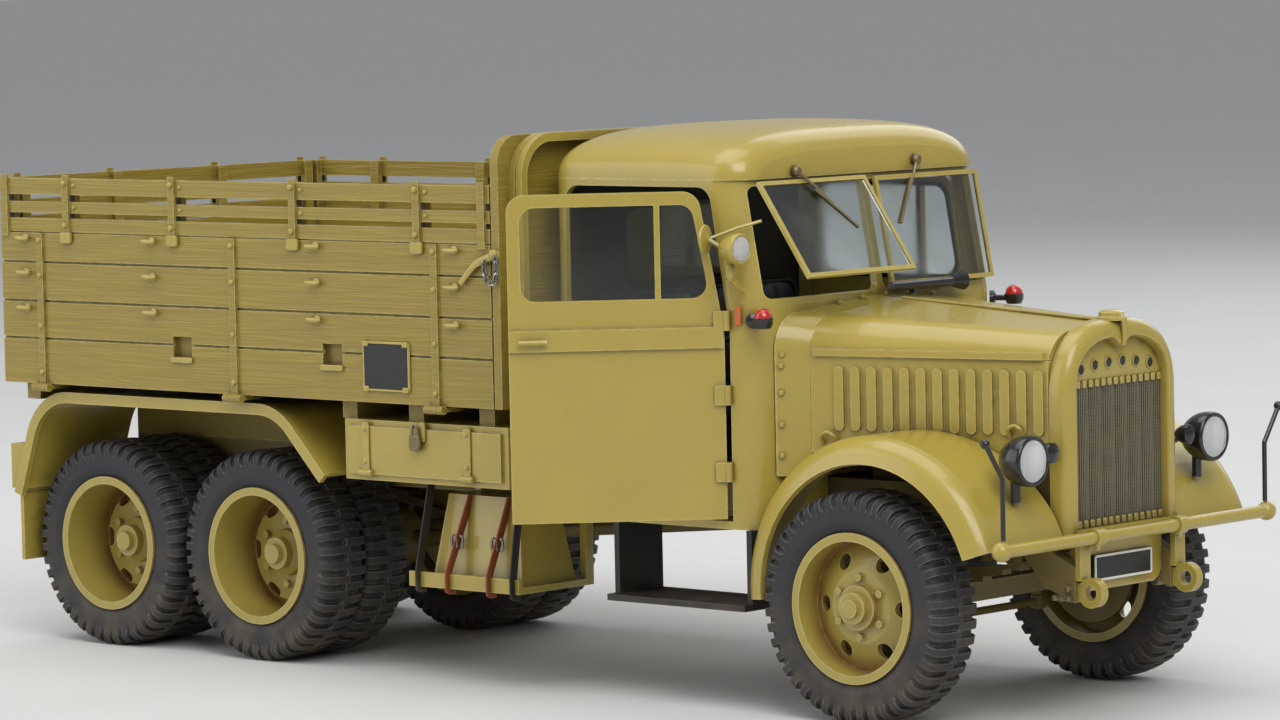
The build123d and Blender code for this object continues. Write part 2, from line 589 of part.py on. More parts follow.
def cab_side(inset):
    """Side outline of the cab below the eaves, drawn in by the inset."""
    with BuildSketch() as outline:
        with BuildLine():
            Polyline((CAB_REAR_X + inset, CAB_Z0), (CAB_FRONT_X - inset, CAB_Z0),
                     (CAB_FRONT_X - inset, SCREEN_FOOT_Z), (SCREEN_TOP_X - inset, EAVES_Z),
                     (CAB_REAR_X + inset, EAVES_Z), close=True)
        make_face()
    return outline.sketch


def door_outline(grow):
    """Door outline seen from the side, with a slanted front edge and rounded top corners."""
    with BuildSketch() as outline:
        with BuildLine():
            FilletPolyline((DOOR_HINGE_X + grow, DOOR_Z0 - grow), (DOOR_HINGE_X + grow, BELT_Z),
                           (DOOR_HINGE_X - DOOR_SLANT + grow, DOOR_Z1 + grow),
                           (DOOR_REAR_X - grow, DOOR_Z1 + grow),
                           (DOOR_REAR_X - grow, DOOR_Z0 - grow), radius=DOOR_CORNER_R, close=False)
            Line((DOOR_REAR_X - grow, DOOR_Z0 - grow), (DOOR_HINGE_X + grow, DOOR_Z0 - grow))
        make_face()
    return outline.sketch


def cab_solid(inset):
    """Solid of the cab below the eaves, with rounded corners in plan."""
    half = CAB_HALF_W - inset
    with BuildPart() as solid:
        with BuildSketch(Plane.XZ):
            add(cab_side(inset))
        extrude(amount=half, both=True)
        for rear, radius in ((True, REAR_CORNER_R), (False, FRONT_CORNER_R)):
            corners = [e for e in solid.edges() if abs(e.center().Y) > half - 0.01
                       and abs(e.tangent_at(0.5).Z) > 0.5 and (e.center().X < CAB_MID_X) == rear]
            fillet(corners, radius - inset)
    return solid.part


with BuildPart() as cab_body:
    add(cab_solid(0))
    add(cab_solid(CAB_WALL), mode=Mode.SUBTRACT)
    with BuildSketch(Plane.XZ):
        add(door_outline(DOOR_GAP))
    extrude(amount=CAB_HALF_W + 1, both=True, mode=Mode.SUBTRACT)
    with BuildSketch(end_view(CAB_FRONT_X + 1)):
        for side in (RIGHT, LEFT):
            with Locations((side * (SCREEN_HALF_W + SCREEN_BAR / 2) / 2,
                            (SCREEN_FOOT_Z + SCREEN_TOP_Z) / 2 + 0.4)):
                RectangleRounded(SCREEN_HALF_W - SCREEN_BAR / 2, SCREEN_TOP_Z - SCREEN_FOOT_Z - 1.0, 1.0)
    extrude(amount=-8, mode=Mode.SUBTRACT)
    with BuildSketch(end_view(CAB_REAR_X - 1)):
        with Locations((0, REAR_LIGHT[2])):
            RectangleRounded(REAR_LIGHT[0], REAR_LIGHT[1], 2.0)
    extrude(amount=4, mode=Mode.SUBTRACT)
    block((CAB_REAR_X - 1, CAB_FRONT_X + 1), (-TUNNEL_Y, TUNNEL_Y), (CAB_Z0 - 1, CAB_FLOOR_Z[0]),
          Mode.SUBTRACT)
write(cab_body, "cab_body")

CAB_FIT = 0.05
with BuildPart() as cab_inside:
    with BuildSketch(Plane.XY.offset(CAB_FLOOR_Z[0])):
        with Locations(((CAB_REAR_X + CAB_FRONT_X) / 2, 0)):
            RectangleRounded(CAB_FRONT_X - CAB_REAR_X - 2 * (CAB_WALL + CAB_FIT),
                             2 * (CAB_HALF_W - CAB_WALL - DOOR_T), REAR_CORNER_R)
    extrude(amount=CAB_FLOOR_Z[1] - CAB_FLOOR_Z[0])

ROOF_CROWN = 1.2
ROOF_REAR_R = 4.5
ROOF_BROW_R = 4.8
ROOF_SIDE_R = 4.6
ROOF_OVERHANG = 0.5


def roof_solid(inset):
    """Dome where a side profile, an end profile and a plan outline meet."""
    x0, x1 = CAB_REAR_X + inset, SCREEN_TOP_X + ROOF_OVERHANG - inset
    half = CAB_HALF_W + 0.2 - inset
    top = ROOF_Z - inset
    rear_r, brow_r, side_r = ROOF_REAR_R - inset, ROOF_BROW_R - inset, ROOF_SIDE_R - inset
    with BuildPart() as solid:
        with BuildSketch(Plane.XZ):
            with BuildLine():
                FilletPolyline((x0, EAVES_Z), (x0, top - 0.6), ((x0 + x1) / 2, top), (x1, top - 0.8), (x1, EAVES_Z),
                               radius=[rear_r, 60.0, brow_r])
                Line((x0, EAVES_Z), (x1, EAVES_Z))
            make_face()
        extrude(amount=half + 5, both=True)
        with BuildSketch(end_view(x0 - 1)):
            with BuildLine():
                FilletPolyline((-half, EAVES_Z), (-half, top - ROOF_CROWN), (0, top), (half, top - ROOF_CROWN),
                               (half, EAVES_Z), radius=[side_r, 90.0, side_r])
                Line((-half, EAVES_Z), (half, EAVES_Z))
            make_face()
        extrude(amount=x1 - x0 + 2, mode=Mode.INTERSECT)
        with BuildSketch(Plane.XY.offset(EAVES_Z)):
            with Locations(((x0 + x1) / 2, 0)):
                Rectangle(x1 - x0, 2 * half)
            fillet(vertices().group_by(Axis.X)[0], REAR_CORNER_R)
            fillet(vertices().group_by(Axis.X)[-1], FRONT_CORNER_R)
        extrude(amount=ROOF_Z - EAVES_Z + 1, mode=Mode.INTERSECT)
    return solid.part


with BuildPart() as cab_roof:
    add(roof_solid(0))
    add(roof_solid(CAB_WALL), mode=Mode.SUBTRACT)
write(cab_roof, "cab_roof")

# Doors: flat lower panel, raised belt moulding, framed window with a quarter-light bar
WINDOW_Z = (50.4, 61.8)
WINDOW_X = (DOOR_REAR_X + 1.6, DOOR_HINGE_X - 1.7)
WINDOW_R = 1.8
QUARTER_BAR_X = DOOR_HINGE_X - 8.0
QUARTER_BAR_W = 0.7
BELT_BAND_Z = (44.3, 46.9)
BELT_BAND_T = 0.45
DOOR_AXIS = (DOOR_HINGE_X + 0.25, CAB_HALF_W + 0.45)     # x, distance from the centreline
DOOR_BARREL_R = 0.45
DOOR_HINGES_Z = (29.1, 38.5, 47.6)
BARREL_L = 2.4
GLASS_T = 0.3
HANDLE_L = 3.4


def window_outline(grow):
    """Window in the door, its front edge slanted like the door's."""
    x0, x1, z0, z1 = WINDOW_X[0] - grow, WINDOW_X[1] + grow, WINDOW_Z[0] - grow, WINDOW_Z[1] + grow
    with BuildSketch() as outline:
        with BuildLine():
            FilletPolyline((x1, z0), (x1 - 2.1, z1), (x0, z1), (x0, z0), radius=WINDOW_R, close=True)
        make_face()
    return outline.sketch


def door_leaf():
    """Closed right-hand door, its outer face at the cab side."""
    outer = -CAB_HALF_W - 0.1
    with BuildPart() as leaf_part:
        with BuildSketch(side_view(outer)):
            add(door_outline(0))
            add(window_outline(0), mode=Mode.SUBTRACT)
        extrude(amount=-DOOR_T)
        block((QUARTER_BAR_X - QUARTER_BAR_W / 2, QUARTER_BAR_X + QUARTER_BAR_W / 2), (outer, outer + DOOR_T),
              (WINDOW_Z[0] - 0.3, WINDOW_Z[1] + 0.3))
        block((DOOR_REAR_X, DOOR_HINGE_X - 0.2), (outer - BELT_BAND_T, outer), BELT_BAND_Z)
        rod((DOOR_REAR_X + 1.2, outer - 1.2, 45.5), (DOOR_REAR_X + 1.2 + HANDLE_L, outer - 1.2, 45.5), 0.3)
        neck_x = DOOR_REAR_X + 0.8 + HANDLE_L
        rod((neck_x, outer, 45.5), (neck_x, outer - 1.2, 45.5), 0.35)
        for z in DOOR_HINGES_Z:
            low, high = z - BARREL_L / 2, z + BARREL_L / 2
            block((DOOR_AXIS[0] - 1.6, DOOR_AXIS[0] - 0.1), (outer - 0.4, outer), (low, high))
            rod((DOOR_AXIS[0], -DOOR_AXIS[1], low), (DOOR_AXIS[0], -DOOR_AXIS[1], high),
                DOOR_BARREL_R)
    return leaf_part.part


def door_pane():
    """Glass of the closed right-hand door, inside its frame."""
    inner = -CAB_HALF_W - 0.1 + DOOR_T
    with BuildPart() as pane:
        with BuildSketch(side_view(inner)):
            add(window_outline(0.5))
        extrude(amount=-GLASS_T)
    return pane.part


def swung(piece, angle):
    """Turn a right-hand door piece about its hinge line, outwards."""
    axis = Axis((DOOR_AXIS[0], -DOOR_AXIS[1], 0), (0, 0, 1))
    return piece.rotate(axis, angle)


for name, make in (("door", door_leaf), ("door_glass", door_pane)):
    with BuildPart() as piece:
        add(swung(make(), DOOR_OPEN))
    write(piece, f"{name}_right")
    with BuildPart() as piece:
        add(make().mirror(Plane.XZ))
    write(piece, f"{name}_left")

# Bonnet: a tapered skin between the scuttle and the radiator, split at the side seams
SHOULDER_R = 4.6
CROWN_R = 36.0
CROWN_DROP = 1.5
SCUTTLE_HW = 20.8
SCUTTLE_Z = SCREEN_FOOT_Z + 0.4
SCUTTLE_Z0 = 28.5
PANEL_GAP = 0.06
TAPER = (BONNET_REAR_HW - BONNET_FRONT_HW) / (BONNET_FRONT_X - BONNET_REAR_X)


def hood_section(half, foot, top, inset):
    """Arched cross-section: upright sides, rounded shoulders and a crowned top."""
    half, top = half - inset, top - inset
    with BuildSketch() as section:
        with BuildLine():
            FilletPolyline((-half, foot), (-half, top - CROWN_DROP), (0, top), (half, top - CROWN_DROP),
                           (half, foot),
                           radius=[SHOULDER_R - inset, CROWN_R, SHOULDER_R - inset])
            Line((-half, foot), (half, foot))
        make_face()
    return section.sketch


def hood(sections, foot, inset):
    """Loft through (x, half width, top) sections, drawn in by the inset."""
    with BuildPart() as body:
        for x, half, top in sections:
            with BuildSketch(end_view(x)):
                add(hood_section(half, foot, top, inset))
        loft()
    return body.part


BONNET = ((BONNET_REAR_X, BONNET_REAR_HW, BONNET_REAR_Z), (BONNET_FRONT_X, BONNET_FRONT_HW, BONNET_FRONT_Z))
SCUTTLE = ((CAB_FRONT_X, SCUTTLE_HW, SCUTTLE_Z), (BONNET_REAR_X - PANEL_GAP, BONNET_REAR_HW, BONNET_REAR_Z))

with BuildPart() as scuttle:
    add(hood(SCUTTLE, SCUTTLE_Z0, 0))
    add(hood(SCUTTLE, SCUTTLE_Z0, SHEET), mode=Mode.SUBTRACT)
write(scuttle, "scuttle")

BEAD_H = 0.9
BEAD_T = 0.4
BONNET_L = BONNET_FRONT_X - BONNET_REAR_X
ALONG = {side: Vector(BONNET_L, side * (BONNET_FRONT_HW - BONNET_REAR_HW), 0).normalized()
         for side in (RIGHT, LEFT)}
BONNET_RUN = BONNET_L / ALONG[RIGHT].X


def bonnet_face(side):
    """Plane just inside one bonnet side, facing out: X along it, Y up."""
    along = ALONG[side]
    return Plane(origin=(BONNET_REAR_X, side * BONNET_REAR_HW, 0), x_dir=along * -side,
                 z_dir=Vector(side * -along.Y, side * along.X, 0)).offset(-SHEET / 2)


with BuildPart() as bonnet_top:
    add(hood(BONNET, BONNET_Z0, 0))
    add(hood(BONNET, BONNET_Z0, SHEET), mode=Mode.SUBTRACT)
    block((BONNET_REAR_X - 1, BONNET_FRONT_X + 1), (-30, 30), (BONNET_Z0 - 1, BONNET_SEAM_Z), Mode.SUBTRACT)
    for side in (RIGHT, LEFT):
        with BuildSketch(bonnet_face(side)):
            with Locations((-side * BONNET_RUN / 2, BONNET_SEAM_Z + BEAD_H / 2)):
                Rectangle(BONNET_RUN - 1.0, BEAD_H)
        extrude(amount=SHEET / 2 + BEAD_T)
write(bonnet_top, "bonnet_top")

LOUVRES = 13
LOUVRE_PITCH = 2.16
LOUVRE_X0 = 53.4             # first louvre, along the truck
LOUVRE_W = 1.25
LOUVRE_Z = (34.2, 42.0)
LOUVRE_T = 0.45
for name, side in SIDES:
    with BuildPart() as bonnet_side:
        add(hood(BONNET, BONNET_Z0, 0))
        add(hood(BONNET, BONNET_Z0, SHEET), mode=Mode.SUBTRACT)
        block((BONNET_REAR_X - 1, BONNET_FRONT_X + 1), (-30, 30), (BONNET_SEAM_Z - PANEL_GAP, 60),
              Mode.SUBTRACT)
        block((BONNET_REAR_X - 1, BONNET_FRONT_X + 1), (0, -side * 30), (BONNET_Z0 - 1, 60), Mode.SUBTRACT)
        with BuildSketch(bonnet_face(side)):
            for step in range(LOUVRES):
                run = (LOUVRE_X0 - BONNET_REAR_X + step * LOUVRE_PITCH) / ALONG[side].X
                with Locations((-side * run, sum(LOUVRE_Z) / 2)):
                    SlotOverall(LOUVRE_Z[1] - LOUVRE_Z[0], LOUVRE_W, rotation=90)
        extrude(amount=SHEET / 2 + LOUVRE_T)
    write(bonnet_side, f"bonnet_side_{name}")

# Radiator shell: rounded frame with a notched top and a twin-arched opening, apron below
NOTCH = (1.6, 1.1)           # half width, depth
ARCH_Z = 44.3
ARCH_DIP = 1.6
SHELL_R = 6.0
APRON_Z = 15.2
APRON_HW = 7.6
APRON_R = 2.0
APRON_T = 0.8
SHELL_Z0 = 21.4
SHELL_TOP = BONNET_FRONT_Z + 0.2

with BuildPart() as radiator_shell:
    with BuildSketch(end_view(BONNET_FRONT_X + PANEL_GAP)):
        with BuildLine():
            FilletPolyline((-SHELL_HW, SHELL_Z0), (-SHELL_HW, SHELL_TOP - 0.9), (-NOTCH[0] * 2, SHELL_TOP),
                           (0, SHELL_TOP - NOTCH[1]), (NOTCH[0] * 2, SHELL_TOP), (SHELL_HW, SHELL_TOP - 0.9),
                           (SHELL_HW, SHELL_Z0), radius=[SHELL_R, 0.8, 0.6, 0.8, SHELL_R])
            Line((SHELL_HW, SHELL_Z0), (-SHELL_HW, SHELL_Z0))
        make_face()
        with BuildLine():
            left_arch = ThreePointArc((-GRILLE_HW, GRILLE_Z1 - 1.4), (-GRILLE_HW * 0.6, ARCH_Z), (0, ARCH_Z - ARCH_DIP))
            right_arch = ThreePointArc((0, ARCH_Z - ARCH_DIP), (GRILLE_HW * 0.6, ARCH_Z), (GRILLE_HW, GRILLE_Z1 - 1.4))
            Polyline(right_arch @ 1, (GRILLE_HW, GRILLE_Z0), (-GRILLE_HW, GRILLE_Z0), left_arch @ 0)
        make_face(mode=Mode.SUBTRACT)
    extrude(amount=SHELL_FRONT_X - BONNET_FRONT_X - PANEL_GAP)
    fillet(radiator_shell.faces().sort_by(Axis.X)[-1].outer_wire().edges().filter_by(
        lambda e: e.center().Z > SHELL_Z0 + 0.1), 0.9)
    with BuildSketch(end_view(SHELL_FRONT_X - 1.0)):
        with Locations((0, (SHELL_Z0 + APRON_Z) / 2)):
            Rectangle(2 * APRON_HW, SHELL_Z0 - APRON_Z)
        fillet(vertices().group_by(Axis.Y)[0], APRON_R)
    extrude(amount=-APRON_T)
write(radiator_shell, "radiator_shell")

# Grille: hole plate in the arches above a ribbed core
CORE_X = (BONNET_FRONT_X + 0.4, BONNET_FRONT_X + 1.6)
RIBS = 16
HOLES = 6
GRILLE_FIT = 0.05
with BuildPart() as grille:
    half = GRILLE_HW - GRILLE_FIT
    block(CORE_X, (-half, half), (GRILLE_Z0 + GRILLE_FIT, GRILLE_Z1 - 1.6))
    for step in range(RIBS):
        y = (step + 0.5) * 2 * half / RIBS - half
        block((CORE_X[1], CORE_X[1] + 0.35), (y - 0.3, y + 0.3), (GRILLE_Z0 + 0.6, GRILLE_Z1 - 1.7))
    with BuildSketch(end_view(CORE_X[0])):
        with Locations((0, GRILLE_Z1 - 0.85)):
            Rectangle(2 * half - 2.4, 1.6)
        with Locations(*[((step - (HOLES - 1) / 2) * 2.6, GRILLE_Z1 - 0.9) for step in range(HOLES)]):
            Circle(0.45, mode=Mode.SUBTRACT)
    extrude(amount=CORE_X[1] - CORE_X[0])
write(grille, "grille")

# Front fenders: a rounded cross-section carried round the wheel, trimmed along the bonnet
FENDER_MID = (64.6, 15.3)    # x and z of the fender's sweep
FENDER_R = 19.3
FENDER_LIP_R = 16.0
FENDER_OUT_Y = 27.2
FENDER_IN_Y = 11.6
FENDER_T = 0.7
FENDER_ARC = (20.0, 184.0)   # from the front tip over the top to the rear tip
FENDER_GAP = LOUVRE_T + 0.25

for name, side in SIDES:
    start = Plane(origin=(FENDER_MID[0], 0, FENDER_MID[1]), x_dir=(0, side, 0),
                  z_dir=(side * sin(radians(FENDER_ARC[0])), 0, -side * cos(radians(FENDER_ARC[0]))))
    with BuildPart() as fender:
        with BuildSketch(start):
            with BuildLine():
                FilletPolyline((FENDER_IN_Y, FENDER_R - FENDER_T / 2),
                               (FENDER_OUT_Y - 1.2, FENDER_R - FENDER_T / 2),
                               (FENDER_OUT_Y - FENDER_T / 2, FENDER_LIP_R), radius=2.4)
            trace(line_width=FENDER_T)
        revolve(axis=Axis((FENDER_MID[0], 0, FENDER_MID[1]), (0, -1, 0)),
                revolution_arc=FENDER_ARC[1] - FENDER_ARC[0])
        with BuildSketch(Plane.XY):
            with BuildLine():
                Polyline((BONNET_REAR_X - 10, 0),
                         (BONNET_REAR_X - 10, side * (BONNET_REAR_HW + 10 * TAPER + FENDER_GAP)),
                         (BONNET_FRONT_X + 10, side * (BONNET_FRONT_HW - 10 * TAPER + FENDER_GAP)),
                         (BONNET_FRONT_X + 10, 0), close=True)
            make_face()
        extrude(amount=60, mode=Mode.SUBTRACT)
    write(fender, f"front_fender_{name}")

# Rear mudguards over both twin wheels, with a rolled outer edge, flaps and small boxes
GUARD_REAR_RUN = (14.9, 10.0)    # back from the rear axle to the sheet's tail and its upper bend
GUARD_FRONT_RUN = (7.3, 15.7)    # forward from the middle axle to the upper bend and the sheet's nose
GUARD = ((REAR_AXLE_X - GUARD_REAR_RUN[0], 20.6), (REAR_AXLE_X - GUARD_REAR_RUN[1], 34.3),
         (MID_AXLE_X + GUARD_FRONT_RUN[0], 34.3), (MID_AXLE_X + GUARD_FRONT_RUN[1], 25.7))
GUARD_R = 8.0
GUARD_Y = (RAIL_OUT + 0.3, 29.2)
GUARD_T = 0.7
FLAP = ((GUARD[0][0] - 0.6, GUARD[0][0]), (11.0, 20.9))        # x, z
REAR_BOX = ((GUARD[0][0] - 1.8, GUARD[0][0] + 0.8), (22.0, 28.6), (20.9, 27.1))
with BuildPart() as rear_mudguards:
    for side in (RIGHT, LEFT):
        with BuildSketch(side_view(side * GUARD_Y[0])):
            with BuildLine():
                FilletPolyline(*GUARD, radius=GUARD_R)
            trace(line_width=GUARD_T)
        extrude(amount=-side * (GUARD_Y[1] - GUARD_Y[0]))
        with BuildSketch(side_view(side * GUARD_Y[1])):
            with BuildLine():
                FilletPolyline(*[(x, z - 0.4) for x, z in GUARD], radius=GUARD_R)
            trace(line_width=GUARD_T + 0.8)
        extrude(amount=side * 0.8)
        block(FLAP[0], (side * (GUARD_Y[0] + 2), side * (GUARD_Y[1] - 1)), FLAP[1])
        block(REAR_BOX[0], (side * REAR_BOX[1][0], side * REAR_BOX[1][1]), REAR_BOX[2])
write(rear_mudguards, "rear_mudguards")

# Lockers below the body sides, and the strapped chest on its tray at the right
LOCKER_X = (-20.2, 8.8)
LOCKER_Y = (15.0, 29.0)
LOCKER_Z = (25.6, BEARER_Z)
LID_T = 0.4
with BuildPart() as lockers:
    for side in (RIGHT, LEFT):
        block(LOCKER_X, (side * LOCKER_Y[0], side * LOCKER_Y[1]), LOCKER_Z)
        block((LOCKER_X[0] + 1, LOCKER_X[1] - 1), (side * LOCKER_Y[1], side * (LOCKER_Y[1] + LID_T)),
              (LOCKER_Z[0] + 0.8, LOCKER_Z[1] - 0.8))
write(lockers, "lockers")

TRAY_X = (-10.2, 9.1)
TRAY_Y = (14.0, 28.0)
TRAY_Z = (12.2, 13.0)
CHEST_TOP_Z = 24.0
CHEST_DRAFT = 3.2
with BuildPart() as tool_chest:
    block(TRAY_X, (-TRAY_Y[1], -TRAY_Y[0]), TRAY_Z)
    block(TRAY_X, (-TRAY_Y[1], -TRAY_Y[1] + 0.7), (TRAY_Z[1], TRAY_Z[1] + 1.1))
    for x in (TRAY_X[0] + 0.5, TRAY_X[1] - 0.5):
        block((x - 0.5, x + 0.5), (-TRAY_Y[0] - 1.4, -TRAY_Y[0]), (TRAY_Z[1], LOCKER_Z[0]))
with tool_chest:
    middle = ((TRAY_X[0] + TRAY_X[1]) / 2 + 0.8, -(TRAY_Y[0] + TRAY_Y[1]) / 2 - 0.3)
    length, depth = 15.6, 10.0
    with BuildSketch(Plane.XY.offset(TRAY_Z[1])):
        with Locations(middle):
            Rectangle(length, depth)
    with BuildSketch(Plane.XY.offset(CHEST_TOP_Z)):
        with Locations(middle):
            Rectangle(length - CHEST_DRAFT, depth - CHEST_DRAFT)
    loft()
write(tool_chest, "tool_chest")

# Steps below the doors
STEP_X = (22.0, 44.6)
STEP_Y = (16.0, 25.6)
STEP_Z = (12.2, 13.0)
with BuildPart() as steps:
    for side in (RIGHT, LEFT):
        block(STEP_X, (side * STEP_Y[0], side * STEP_Y[1]), STEP_Z)
        for x in STEP_X:
            x0 = x if x == STEP_X[0] else x - 0.8
            block((x0, x0 + 0.8), (side * STEP_Y[0], side * (STEP_Y[1] - 1.5)), (STEP_Z[1], CAB_Z0))
write(steps, "steps")

# Bumper tube on two brackets, tow hooks on the frame's nose, width rods at the tube's ends
BUMPER = (85.1, 22.1)        # x, z
BUMPER_HALF = 26.5
BUMPER_R = 0.8
BALL_R = 1.2
BRACKET_Y = RAIL_Y
HOOK_BORE_R = 0.9
HOOK_R = 1.8
HOOK_T = 1.2
HOOK_X = RAIL_NOSE_X + 1.8
HOOK_Z = 15.6
with BuildPart() as bumper:
    rod((BUMPER[0], -BUMPER_HALF, BUMPER[1]), (BUMPER[0], BUMPER_HALF, BUMPER[1]), BUMPER_R)
    for side in (RIGHT, LEFT):
        with Locations((BUMPER[0], side * BUMPER_HALF, BUMPER[1])):
            Sphere(BALL_R)
        block((RAIL_NOSE_X, RAIL_NOSE_X + 0.7), (side * (BRACKET_Y - 1), side * (BRACKET_Y + 1)),
              (RAIL_NOSE_Z[0] + 2.6, BUMPER[1] + 0.5))
        block((RAIL_NOSE_X, BUMPER[0]), (side * (BRACKET_Y - 1), side * (BRACKET_Y + 1)),
              (BUMPER[1] - 0.5, BUMPER[1] + 0.5))
write(bumper, "bumper")

with BuildPart() as tow_hooks:
    for side in (RIGHT, LEFT):
        middle = side * RAIL_Y
        block((RAIL_NOSE_X, HOOK_X), (middle - HOOK_T / 2, middle + HOOK_T / 2), (HOOK_Z - 1.1, HOOK_Z + 1.1))
        rod((HOOK_X, middle - HOOK_T / 2, HOOK_Z), (HOOK_X, middle + HOOK_T / 2, HOOK_Z), HOOK_R)
        rod((HOOK_X, middle - HOOK_T, HOOK_Z), (HOOK_X, middle + HOOK_T, HOOK_Z), HOOK_BORE_R, Mode.SUBTRACT)
write(tow_hooks, "tow_hooks")

ROD_R = 0.3
ROD_TIP_R = 0.6
with BuildPart() as width_rods:
    for side in (RIGHT, LEFT):
        y = side * (BUMPER_HALF - 0.3)
        foot = (BUMPER[0], y, BUMPER[1] + BALL_R + 0.05)
        bend = (BUMPER[0], y, 30.6)
        tip = (BUMPER[0], y + side * 3.1, 34.9)
        rod(foot, bend, ROD_R)
        rod(bend, tip, ROD_R)
        for point in (bend, tip):
            with Locations(point):
                Sphere(ROD_R if point is bend else ROD_TIP_R)
write(width_rods, "width_rods")

PLATE_HW = 5.7
PLATE_Z = (16.4, 19.5)
PLATE_X = SHELL_FRONT_X - 1.0
with BuildPart() as number_plate:
    block((PLATE_X, PLATE_X + 0.6), (-PLATE_HW, PLATE_HW), PLATE_Z)
write(number_plate, "number_plate")

# Headlamps: turned bowls on stalks from the fenders, with domed lenses
LAMP = (83.0, 18.1, 31.9)
LAMP_R = 3.0
LAMP_L = 4.4
STALK_R = 0.6
STALK_X = LAMP[0] - 2.3
STALK_Z = FENDER_MID[1] + sqrt(FENDER_R ** 2 - (STALK_X - STALK_R - FENDER_MID[0]) ** 2) + FIT
with BuildPart() as headlamps:
    for side in (RIGHT, LEFT):
        centre = Plane(origin=(LAMP[0], side * LAMP[1], LAMP[2]), x_dir=(1, 0, 0), z_dir=(0, -1, 0))
        with BuildSketch(centre):
            with BuildLine():
                bowl = ThreePointArc((0, LAMP_R), (-LAMP_L * 0.62, LAMP_R * 0.78), (-LAMP_L, 0))
                Polyline(bowl @ 1, (0, 0), bowl @ 0)
            make_face()
        revolve(axis=Axis((LAMP[0], side * LAMP[1], LAMP[2]), (1, 0, 0)))
        rod((STALK_X, side * LAMP[1], LAMP[2] - 2.0), (STALK_X, side * LAMP[1], STALK_Z), STALK_R)
write(headlamps, "headlamps")

with BuildPart() as lamp_lenses:
    for side in (RIGHT, LEFT):
        centre = Plane(origin=(LAMP[0], side * LAMP[1], LAMP[2]), x_dir=(1, 0, 0), z_dir=(0, -1, 0))
        with BuildSketch(centre):
            with BuildLine():
                Polyline((0, 0), (0.8, 0), (0.65, LAMP_R * 0.5), (0.35, LAMP_R * 0.8), (0, LAMP_R - 0.2),
                         close=True)
            make_face()
        revolve(axis=Axis((LAMP[0], side * LAMP[1], LAMP[2]), (1, 0, 0)))
write(lamp_lenses, "lamp_lenses")

# Engine and gearbox block between the rails, and the exhaust
with BuildPart() as engine_gearbox:
    block(ENGINE[0], (-ENGINE[1], ENGINE[1]), ENGINE[2])
    block(GEARBOX[0], (-GEARBOX[1], GEARBOX[1]), GEARBOX[2])
    block((53.0, 57.0), (-RAIL_IN, RAIL_IN), (RAIL_Z0 + 1, RAIL_Z0 + 3))
write(engine_gearbox, "engine_gearbox")

EXHAUST_Y = 13.2
EXHAUST_Z = 20.0
with BuildPart() as exhaust:
    rod((-14.0, EXHAUST_Y, EXHAUST_Z), (8.0, EXHAUST_Y, EXHAUST_Z), 2.2)
    rod((8.0, EXHAUST_Y, EXHAUST_Z), (44.0, EXHAUST_Y, EXHAUST_Z), 0.8)
    rod((-23.0, EXHAUST_Y, EXHAUST_Z), (-14.0, EXHAUST_Y, EXHAUST_Z), 0.8)
    for x in (-6.0, 16.0):
        block((x - 0.5, x + 0.5), (RAIL_OUT, EXHAUST_Y), (RAIL_Z0 + 0.4, RAIL_Z0 + 1.4))
        block((x - 0.5, x + 0.5), (EXHAUST_Y - 0.5, EXHAUST_Y + 0.5), (EXHAUST_Z, RAIL_Z0 + 1.4))
write(exhaust, "exhaust")

# Cab inside: bench, dashboard, steering wheel on its column
SEAT_X = (15.2, 28.0)
SEAT_Z = (33.0, 37.5)
BACK_X = (CAB_REAR_X + CAB_WALL + 0.3, 16.6)
SEAT_CLEARANCE = 4.0         # to the cab's side at each end
SEAT_HALF_W = CAB_HALF_W - SEAT_CLEARANCE
with BuildPart() as seat:
    block((BACK_X[1] - 0.4, SEAT_X[1]), (-SEAT_HALF_W, SEAT_HALF_W), SEAT_Z)
    block(BACK_X, (-SEAT_HALF_W, SEAT_HALF_W), (SEAT_Z[0] + 1.5, 50.0))
write(seat, "seat")

DASH_HALF_W = 18.0
DASH_Z = (42.5, 48.0)
DASH_X = (CAB_FRONT_X - CAB_WALL - 3.0, CAB_FRONT_X - CAB_WALL - FIT)
with cab_inside:
    block((SEAT_X[0], SEAT_X[1] - 1.0), (-SEAT_HALF_W + 1, SEAT_HALF_W - 1),
          (CAB_FLOOR_Z[1], SEAT_Z[0] - FIT))
    block(DASH_X, (-DASH_HALF_W, DASH_HALF_W), DASH_Z)
write(cab_inside, "cab_inside")

WHEEL_MID = (34.5, -11.0, 46.5)
WHEEL_R = 6.0
COLUMN_FOOT = (42.6, -11.0, CAB_FLOOR_Z[1])
column = Vector(*WHEEL_MID) - Vector(*COLUMN_FOOT)
wheel_face = Plane(origin=WHEEL_MID, x_dir=(0, 1, 0), z_dir=column)
with BuildPart() as steering_wheel:
    with Locations(wheel_face):
        Torus(WHEEL_R, 0.35)
        for turn in (0, 60, 120):
            Cylinder(0.22, 2 * WHEEL_R, rotation=(90, 0, turn))
        Cylinder(0.9, 0.9)
    rod((COLUMN_FOOT[0], COLUMN_FOOT[1], COLUMN_FOOT[2] + 0.6), WHEEL_MID, 0.45)
write(steering_wheel, "steering_wheel")

